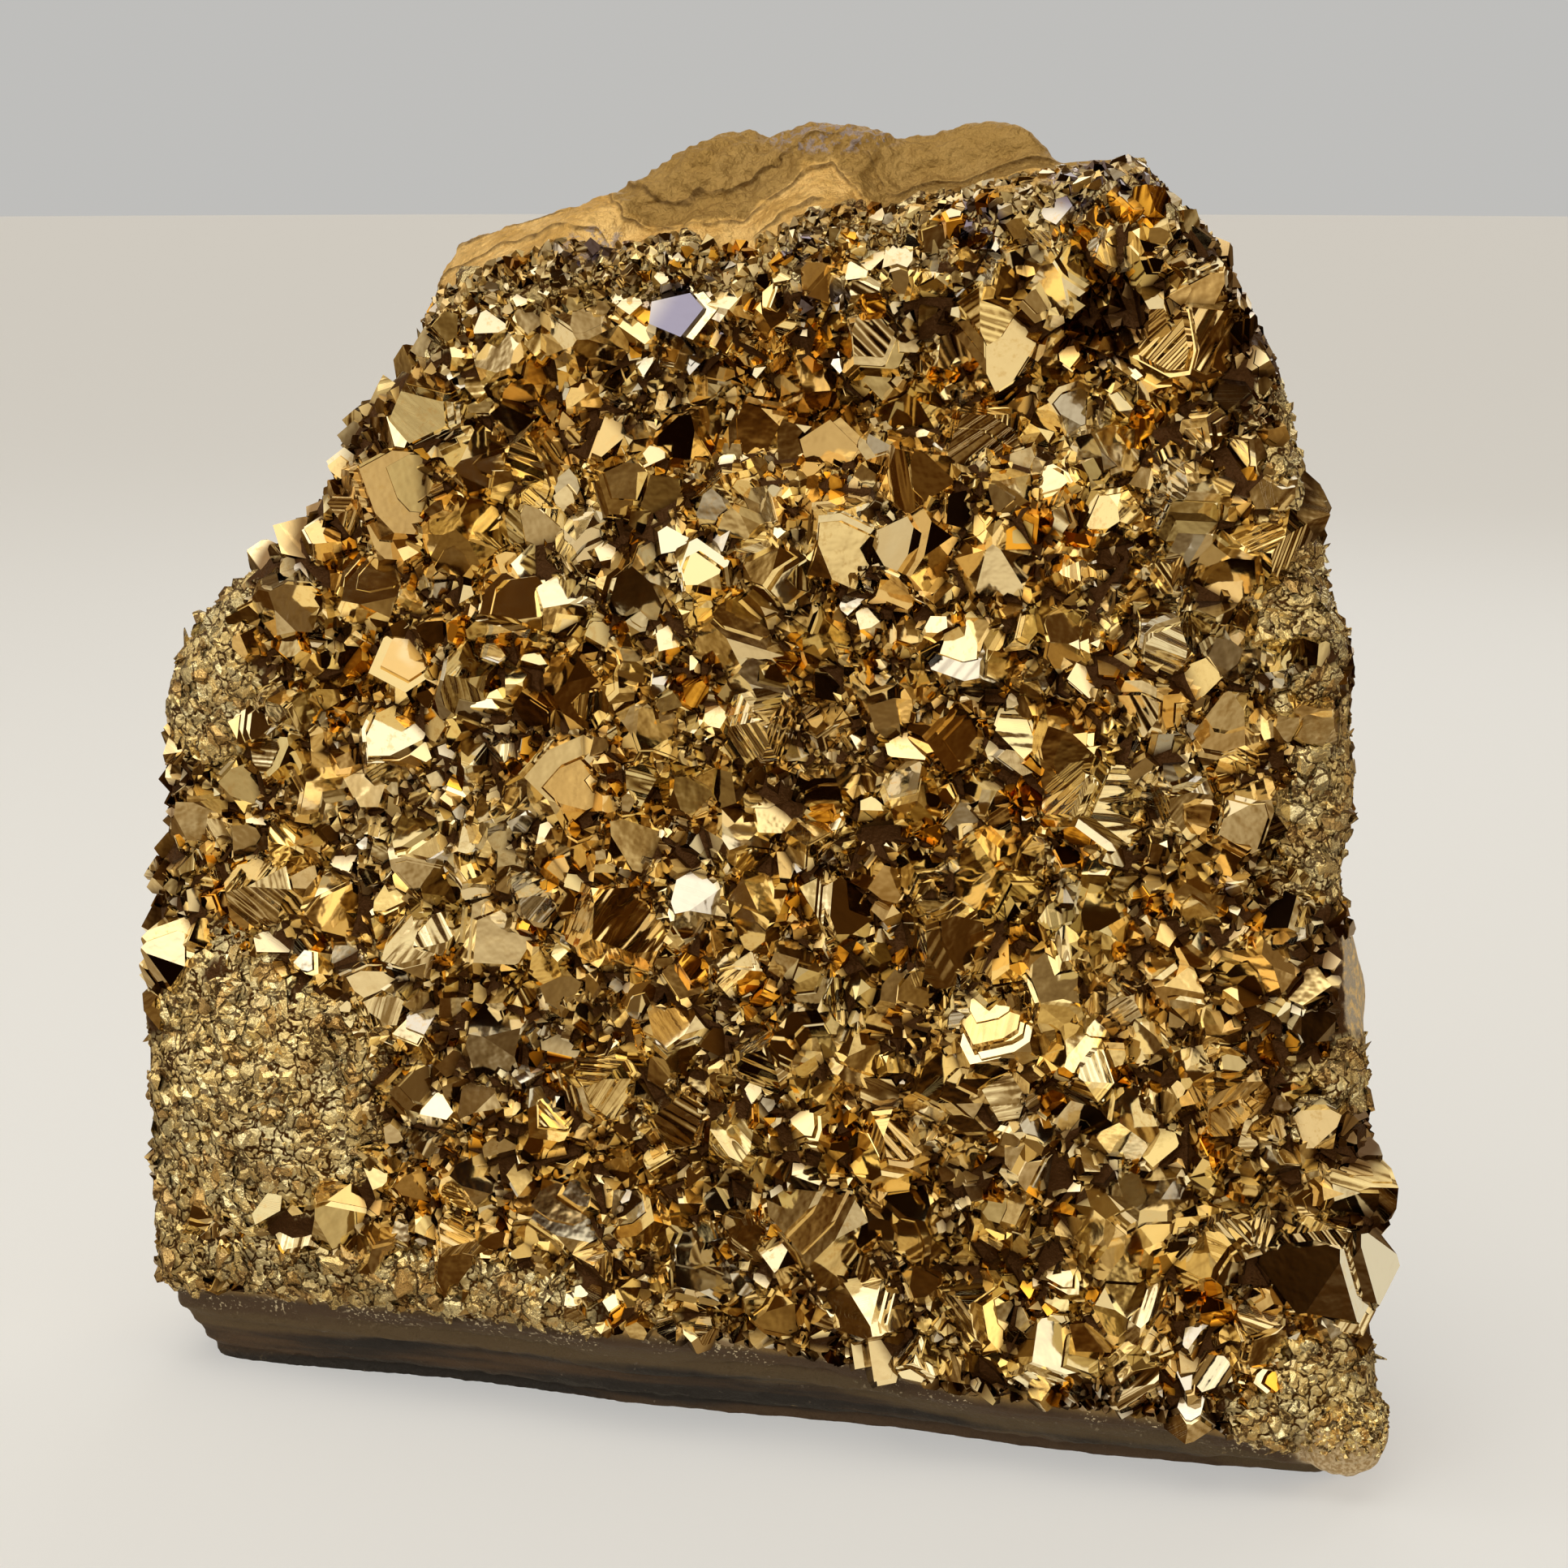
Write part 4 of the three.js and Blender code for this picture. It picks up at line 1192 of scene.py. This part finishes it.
def grain_finish(settings):
    """The film on the fine grains: pale, and softened by facets too small to tell apart, with painted shade
    in creases, cracks and low places.
    """
    film = Finish("gold_aura_grains")
    tint = film.attribute("tint")
    own = film.attribute("crystal")
    place = film.place()
    facets = film.noise(place, 2600, 2)
    cloud = film.noise(place, 160, 3)
    shade = film.mixed(tint.ramp(0.3, 0.9), GRAIN_GOLD, GRAIN_PALE)
    shade = film.mixed(cloud.ramp(0.52, 0.68) * 0.5, shade, GRAIN_BRONZE)
    shade = film.mixed((own * 5).fraction().ramp(0.8, 0.86) * 0.8, shade, GRAIN_BRONZE)
    lilac = film.attribute("lilac").ramp(0.15, 0.6)
    shade = film.mixed(lilac * own.ramp(0.45, 0.5) * 0.8, shade, GRAIN_LILAC)
    shade = film.mixed(lilac * own.ramp(0.8, 0.85) * 0.8, shade, tuple(settings.lilac))
    # painted shade in the creases between the clumps of grains
    painted_crease_shade = film.attribute("clump").ramp(0.3, 0.0) * film.attribute("fine").ramp(0.3, 0.8)
    shade = film.mixed(painted_crease_shade * 0.6, shade, GAP_PAINTED_SHADE)
    # painted shade on grains that lie low over the ground
    above_ground = film.attribute("height") - film.attribute("clump")
    shade = film.mixed(above_ground.ramp(1.45, 1.1) * 0.4, shade, GAP_PAINTED_SHADE)
    cells = {"Vector": film.warped(place, 420, 0.0035), "Scale": 340.0}
    edges = film.node("ShaderNodeTexVoronoi", {"feature": "DISTANCE_TO_EDGE"}, cells, "Distance")
    # painted shade in hairline cracks between grains; the same lines also feed the bump
    hairline_relief_and_shade = edges.ramp(0.09, 0.03) * facets.ramp(0.3, 0.48)
    shade = film.mixed(hairline_relief_and_shade * 0.9, shade, GAP_PAINTED_SHADE)
    film.shade(
        Base_Color=shade, Metallic=0.8, Roughness=0.15 + facets * 0.12,
        Normal=film.bump(facets - hairline_relief_and_shade, 0.0002, 0.6),
    )
    return film.material


def rock_finish(settings):
    """Bare rock: film on the brow and the sides, thinning out over the back, a banded heel kept darker in
    part as painted shade, and painted shade in the druse's ground, cracks and ledges.
    """
    rock = Finish("gold_sprayed_rock")
    place = rock.place()
    behind = rock.attribute("behind")
    above_heel = rock.attribute("above_heel")
    below_brow = rock.attribute("below_brow")
    layers = rock.attribute("layers")
    fine = rock.attribute("fine")
    knob = rock.attribute("knob")
    broad = rock.noise(place, 60, 4)
    patchy = rock.noise(place, 150, 4, 0.6)
    grit = rock.noise(place, 900, 4, 0.6)
    fine_grit = rock.noise(place, 2200, 2)
    streaks = rock.noise(rock.stretched(place, (25, 25, 420)), 1.0, 4)
    film = (behind + broad * 22 + grit * 16 + patchy * 12).ramp(58, 42) * above_heel.ramp(-1.6, 0.6)

    # the heel: the wall's own dark and brown banding, kept darker in part as painted shade of the undercut
    # band
    band = above_heel + streaks * 5 + patchy * 2
    heel = rock.mixed(streaks.ramp(0.42, 0.62), tuple(settings.heel_dark), tuple(settings.heel_brown))
    heel = rock.mixed(band.ramp(-3.4, -1.8) * 0.85, heel, HEEL_TAN)
    heel = rock.mixed(band.ramp(-0.2, 1.2), heel, tuple(settings.heel_brown))
    heel = rock.mixed(grit.ramp(0.66, 0.74), heel, HEEL_SPECKS)
    sparkle = fine_grit.ramp(0.6, 0.64) * above_heel.ramp(-5, -1) * patchy.ramp(0.45, 0.6)
    sparkle = sparkle * behind.ramp(12, 7)
    heel = rock.mixed(sparkle, heel, HEEL_SPARKLE)
    bare_rock = rock.mixed(grit.ramp(0.35, 0.75), tuple(settings.bare_rock), PALE_GRIT)
    bare_rock = rock.mixed(broad.ramp(0.4, 0.65) * 0.6, bare_rock, tuple(settings.heel_brown))
    bare_rock = rock.mixed(patchy.ramp(0.55, 0.66) * 0.6, bare_rock, PALE_GRIT)
    bare_rock = rock.mixed(fine_grit.ramp(0.62, 0.7) * 0.8, bare_rock, FLANK_ROCK)
    stone = rock.mixed(above_heel.ramp(3, -1) * (behind + broad * 8).ramp(34, 20), bare_rock, heel)

    gold = rock.mixed(patchy.ramp(0.35, 0.7), tuple(settings.bare_gold), PALE_SPRAY)
    gold = rock.mixed(grit.ramp(0.5, 0.7) * 0.5, gold, OLIVE_SPRAY)
    crust_layer = (layers + patchy * 0.5 + grit * 0.4).ramp(0.42, 0.6)
    on_brow = (behind + patchy * 10).ramp(27, 19)
    gold = rock.mixed(crust_layer * on_brow * 0.8, gold, OLIVE_SPRAY)
    # painted shadow along the step of each layer on the brow
    ledge = layers.fraction().ramp(0.86, 0.97) * below_brow.ramp(0, -1) * patchy.ramp(0.36, 0.52)
    gold = rock.mixed(ledge * layers.ramp(1.5, 1.2) * 0.75, gold, LEDGE_PAINTED_SHADOW)
    lilac = rock.attribute("lilac").ramp(0.25, 0.6) * grit.ramp(0.5, 0.56) * on_brow
    gold = rock.mixed(lilac * 0.6, gold, LILAC_SPRAY)

    cells = {"Vector": rock.warped(place, 420, 0.0035), "Scale": 560.0}
    edges = rock.node("ShaderNodeTexVoronoi", {"feature": "DISTANCE_TO_EDGE"}, cells, "Distance")
    domes = rock.node("ShaderNodeTexVoronoi", {"feature": "F1"}, cells, "Distance")
    grains = rock.mixed(patchy.ramp(0.4, 0.6), GRAIN_GOLD, GRAIN_PALE)
    # painted shade in the cracks between the cobbled grains
    painted_crack_shade = edges.ramp(0.13, 0.05) * fine_grit.ramp(0.28, 0.46)
    grains = rock.mixed(painted_crack_shade, grains, GAP_PAINTED_SHADE)
    # painted shade in the creases between clumps
    grains = rock.mixed(rock.attribute("clump").ramp(0.3, 0.0) * 0.5, grains, GAP_PAINTED_SHADE)
    druse = below_brow.ramp(0.5, 2.5) * behind.ramp(9, 6) * above_heel.ramp(0.5, 2)
    grained = (fine + below_brow.ramp(9, 6)).ramp(0.2, 0.6)
    # painted shade: where it is not grained, the druse's ground between the points is given the gap's shade
    # colour
    ground = rock.mixed(grained, GAP_PAINTED_SHADE, grains)
    shade = rock.mixed(druse, rock.mixed(film, stone, gold), ground)
    flank = (rock.attribute("flank") + patchy * 1.6 + grit * 0.5).ramp(1.35, 1.75)
    shade = rock.mixed(flank, shade, rock.mixed(grit.ramp(0.4, 0.7), FLANK_ROCK, PALE_SPRAY))
    shade = rock.mixed(knob, shade, rock.mixed(fine_grit.ramp(0.4, 0.62), KNOB_SAND, KNOB_PALE))
    cobbled = druse * grained
    height = grit * 0.8 + rock.noise(place, 260, 3) + fine_grit * 0.3
    pits = rock.noise(place, 420, 5, 0.65) * behind.ramp(10, 30)
    normal = rock.bump(pits, 0.004, 1.0, rock.bump(height, 0.0007, 0.8))
    normal = rock.bump(domes * cobbled * -1.0, 0.0006, 0.8, normal)
    metal = film * (0.7 + cobbled * 0.15) * (1 - flank) * (1 - knob * 0.6)
    rock.shade(
        Base_Color=shade, Metallic=metal, Normal=normal,
        Roughness=0.66 - film * 0.18 + grit * 0.1 - cobbled * 0.2,
    )
    return rock.material


# ---- the stone and its points ---------------------------------------------------------
class Growth:
    """What the pieces share: forms, finishes and the points placed so far."""

    def __init__(self):
        shapes, self.points = frame_points()
        self.kinds = {
            kind: [(planes, form_mesh(f"{kind}_{i}", planes)) for i, planes in enumerate(forms)]
            for kind, forms in make_forms(shapes).items()
        }
        scene = bpy.context.scene
        self.film = crystal_finish(scene.druse_points)
        self.grains = grain_finish(scene.druse_points)
        self.rock = rock_finish(scene.druse_stone)
        self.taken = []
        self.rock_mesh, self.corners = rock_mesh()

    def crystal(self, kind, form, width, axis, spin, root, up, tint):
        forms = self.kinds[kind]
        planes, mesh = forms[int(form) % len(forms)]
        return Crystal(planes, mesh, width, frame_of(axis, spin), root + np.array(axis) * up, tint)


GROWTH = []


def growth():
    if not GROWTH:
        GROWTH.append(Growth())
    return GROWTH[0]


def large_crystals(rng):
    """The frame's points, each a bundle of parallel crystals and plates."""
    g = growth()
    settings = bpy.context.scene.druse_stone
    crystals = []
    for i, (root, width, spin, lean, form) in enumerate(g.points):
        largest = i < len(LARGE_POINTS)
        root = np.array(root)
        normal = skin_normal(root[None])[0]
        axis = unit(normal + lean)
        on_rim = rim(root[None])[0]
        near_brow = short_near_brow(root[None])[0]
        tip_height = (TIP - SINK - (RIM_SINK - SINK) * on_rim) * width * (0.5 + 0.5 * near_brow)
        size = width * near_brow * (settings.large_share if largest else settings.second_share)
        up = tip_height - TIP * size
        main = g.crystal("frame", form, size, axis, spin, root, up, rng.random())
        crystals.append(main)
        g.taken.append((root, size))
        rank = 0 if largest else 1
        for _ in range(rng.integers(*PLATES[rank])):
            crystals.append(main.terrace(rng, PLATE_PROUD))
        for _ in range(rng.integers(*NEIGHBOURS[rank])):
            crystals.append(main.beside(rng, *BESIDE_LARGE))
    return crystals


def added_crystals(rng, rows, kind, bundle):
    """Crystals on scattered places, some of them in parallel bundles."""
    g = growth()
    crystals = []
    for root, width, axis, spin, form, up in rows:
        main = g.crystal(kind, form, width, axis, spin, root, up, rng.random())
        crystals.append(main)
        g.taken.append((root, width))
        for _ in range(rng.integers(0, bundle + 1)):
            if rng.random() < 0.5:
                crystals.append(main.terrace(rng, SMALL_PLATE_PROUD))
            else:
                crystals.append(main.beside(rng, *BESIDE_SMALL))
    return crystals


def ragged_fineness(p):
    """The fineness with an uneven edge to each patch, where points and grains mingle."""
    return fineness(p[:, 0], p[:, 2], PATCH_RAGGED * noise_at(p, PATCH_RAGGED_SIZE, 3))


def crystal_ground(roots, widths):
    under = under_brow(roots[:, 0], roots[:, 2])
    clear = (under > BROW_BAND * POINT_CLEARANCE + widths) & off_bare_rock(roots)
    clear &= ragged_fineness(roots) <= FINE_LIMIT
    wrap = CRUST_WRAP - POINT_TUCK * widths
    return druse_ground(roots, POINT_ROOM * widths, NO_LIMIT, wrap) & clear


def any_ground(roots, widths):
    return druse_ground(roots, GRAIN_ROOM * widths, TINY_LIMIT, CRUST_WRAP) & off_bare_rock(roots)


def patch_ground(roots, widths):
    x, _, z = roots.T
    near_brow = under_brow(x, z) < BROW_BAND
    patch = near_brow | (ragged_fineness(roots) > GRAINS_FROM)
    patch &= widths < KNOB_WIDEST + KNOB_WIDENING * np.linalg.norm(roots - KNOB_MIDDLE, axis=1)
    return druse_ground(roots, GRAIN_ROOM * widths, NO_LIMIT, CRUST_WRAP) & patch & off_bare_rock(roots)


def knob_grains(rng):
    """Grains on the knob, fewer and smaller towards its foot."""
    way = unit(rng.normal(size=(KNOB_TRIES, 3)))
    off = way * fullness(way)
    upper = smoothstep(off[:, 2], -0.5, 0.6)
    widths = 0.25 + 0.4 * upper * rng.random(len(way))
    standing = (off[:, 1] < 0.3) & (rng.random(len(way)) < upper)
    roots = (KNOB_MIDDLE + KNOB_REACH * off)[standing]
    axes = unit(off * abs(off) / KNOB_REACH)[standing]
    widths = widths[standing]
    picked = free_ground(roots, widths, growth().taken, KNOB_GRAIN_KEEPS, KNOB_GRAIN_SHARE)
    axes = unit(axes + rng.normal(0, 0.3, axes.shape))
    spins, forms = spins_and_forms(rng, len(roots))
    return [(roots[i], widths[i], axes[i], spins[i], forms[i], KNOB_GRAIN_LIFT) for i in picked]


def grown_piece(name, crystals, finishes, base=None, knob=None):
    """Grows the crystals together, on a base if there is one, and finishes the piece."""
    mesh = combined(base, crystals, name, knob)
    finish_piece(mesh, crystals, name, finishes)
    return {"FINISHED"}


class StoneOperator(bpy.types.Operator):
    """Make the host rock with the large and middle-sized points grown into it"""

    bl_idname = "druse.stone"
    bl_label = "Stone"

    def execute(self, context):
        g = growth()
        rng = np.random.default_rng(SEED + 2)
        crystals = large_crystals(rng)
        crystals += added_crystals(rng, scattered(rng, "middle", crystal_ground), "lopsided", 2)
        return grown_piece("druse_stone", crystals, [g.film, g.rock], g.rock_mesh, knob_mesh())


class SmallPointsOperator(bpy.types.Operator):
    """Make the small points that fill in between the larger ones"""

    bl_idname = "druse.small_points"
    bl_label = "Small points"

    def execute(self, context):
        rng = np.random.default_rng(SEED + 3)
        crystals = added_crystals(rng, scattered(rng, "small", crystal_ground), "lopsided", 1)
        return grown_piece("small_points", crystals, [growth().film])


class TinyPointsOperator(bpy.types.Operator):
    """Make the tiny points in the gaps"""

    bl_idname = "druse.tiny_points"
    bl_label = "Tiny points"

    def execute(self, context):
        rng = np.random.default_rng(SEED + 4)
        crystals = added_crystals(rng, scattered(rng, "tiny", any_ground), "plain", 0)
        return grown_piece("tiny_points", crystals, [growth().film])


class GrainsOperator(bpy.types.Operator):
    """Make the fine grains of the patches at the edges"""

    bl_idname = "druse.grains"
    bl_label = "Grains"

    def execute(self, context):
        rng = np.random.default_rng(SEED + 5)
        crystals = added_crystals(rng, scattered(rng, "grain", patch_ground), "low", 0)
        crystals += added_crystals(rng, knob_grains(rng), "plain", 0)
        return grown_piece("grains", crystals, [growth().grains])


class StageOperator(bpy.types.Operator):
    """Make the pale floor, the soft studio lamps and the camera"""

    bl_idname = "druse.stage"
    bl_label = "Stage"

    def execute(self, context):
        scene = context.scene
        settings = scene.druse_stage
        ground = bmesh.new()
        bmesh.ops.create_circle(ground, cap_ends=True, segments=FLOOR_SIDES, radius=FLOOR_RADIUS)
        mesh = mesh_from(ground, "floor")
        pale = Finish("pale_floor")
        pale.shade(
            Base_Color=tuple(settings.floor), Roughness=0.9, Emission_Color=tuple(settings.floor),
            Emission_Strength=FLOOR_GLOW,
        )
        mesh.materials.append(pale.material)
        floor = bpy.data.objects.new("floor", mesh)
        floor.visible_glossy = False
        scene.collection.objects.link(floor)
        target = Vector(in_metres(np.array(CAMERA_TARGET)))
        for name, place, width, height, shade, radiance in LAMPS:
            lamp = bpy.data.lights.new(name, "AREA")
            lamp.shape = "RECTANGLE"
            lamp.size, lamp.size_y = width, height
            lamp.color = shade
            lamp.energy = radiance * math.pi * width * height * settings.light
            holder = bpy.data.objects.new(name, lamp)
            holder.location = place
            holder.rotation_euler = (Vector(place) - target).to_track_quat("Z", "Y").to_euler()
            holder.visible_camera = False
            scene.collection.objects.link(holder)
        self.make_world(scene)
        self.make_camera(scene, target)
        scene.view_settings.view_transform = "Standard"
        return {"FINISHED"}

    def make_world(self, scene):
        """A dim room with soft bright patches to be mirrored, behind a pale backdrop."""
        world = bpy.data.worlds.new("studio")
        scene.world = world
        world.use_nodes = True
        world.node_tree.nodes.clear()
        room = Finish.of_tree(world.node_tree)
        way = room.node("ShaderNodeTexCoord", output="Generated")
        patches = room.noise(way, 2.1, 2, 0.55, 0.3)
        glow = room.node("ShaderNodeValToRGB", {"stops": ROOM_GLOW}, {"Fac": patches})
        seen = room.node("ShaderNodeLightPath", output="Is Camera Ray")
        dim = room.node("ShaderNodeBackground", None, {"Color": glow, "Strength": 1.0})
        pale = room.node("ShaderNodeBackground", None, {"Color": BACKDROP, "Strength": 1.0})
        mix = room.node("ShaderNodeMixShader", None, {0: seen, 1: dim, 2: pale})
        room.node("ShaderNodeOutputWorld", None, {"Surface": mix}, None)

    def make_camera(self, scene, target):
        lens = bpy.data.cameras.new("camera")
        lens.lens = CAMERA_LENS
        lens.clip_start = 0.01
        camera = bpy.data.objects.new("camera", lens)
        azimuth, elevation = math.radians(CAMERA_AZIMUTH), math.radians(CAMERA_ELEVATION)
        away = Vector((
            math.sin(azimuth) * math.cos(elevation), -math.cos(azimuth) * math.cos(elevation),
            math.sin(elevation),
        ))
        camera.location = target + away * CAMERA_DISTANCE * MM
        camera.rotation_euler = away.to_track_quat("Z", "Y").to_euler()
        scene.collection.objects.link(camera)
        scene.camera = camera


class DrusePanel(bpy.types.Panel):
    bl_idname = "VIEW3D_PT_druse"
    bl_label = "Gold aura druse"
    bl_space_type = "VIEW_3D"
    bl_region_type = "UI"
    bl_category = "Druse"

    def draw(self, context):
        scene = context.scene
        for title, settings in (
            ("Stone", scene.druse_stone), ("Points", scene.druse_points), ("Stage", scene.druse_stage)
        ):
            box = self.layout.box()
            box.label(text=title)
            for key in settings.bl_rna.properties.keys():
                if key not in ("rna_type", "name"):
                    box.prop(settings, key)
        for operator in OPERATORS:
            self.layout.operator(operator.bl_idname)


OPERATORS = [StoneOperator, SmallPointsOperator, TinyPointsOperator, GrainsOperator, StageOperator]
SETTINGS = {"druse_stone": StoneSettings, "druse_points": PointSettings, "druse_stage": StageSettings}


def register():
    for group in (*SETTINGS.values(), *OPERATORS, DrusePanel):
        bpy.utils.register_class(group)
    for name, group in SETTINGS.items():
        setattr(bpy.types.Scene, name, bpy.props.PointerProperty(type=group))


def unregister():
    for name in SETTINGS:
        delattr(bpy.types.Scene, name)
    for group in (DrusePanel, *reversed(OPERATORS), *SETTINGS.values()):
        bpy.utils.unregister_class(group)


def main():
    register()
    bpy.ops.druse.stone()
    bpy.ops.druse.small_points()
    bpy.ops.druse.tiny_points()
    bpy.ops.druse.grains()
    bpy.ops.druse.stage()
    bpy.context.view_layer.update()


if __name__ == "__main__":
    main()
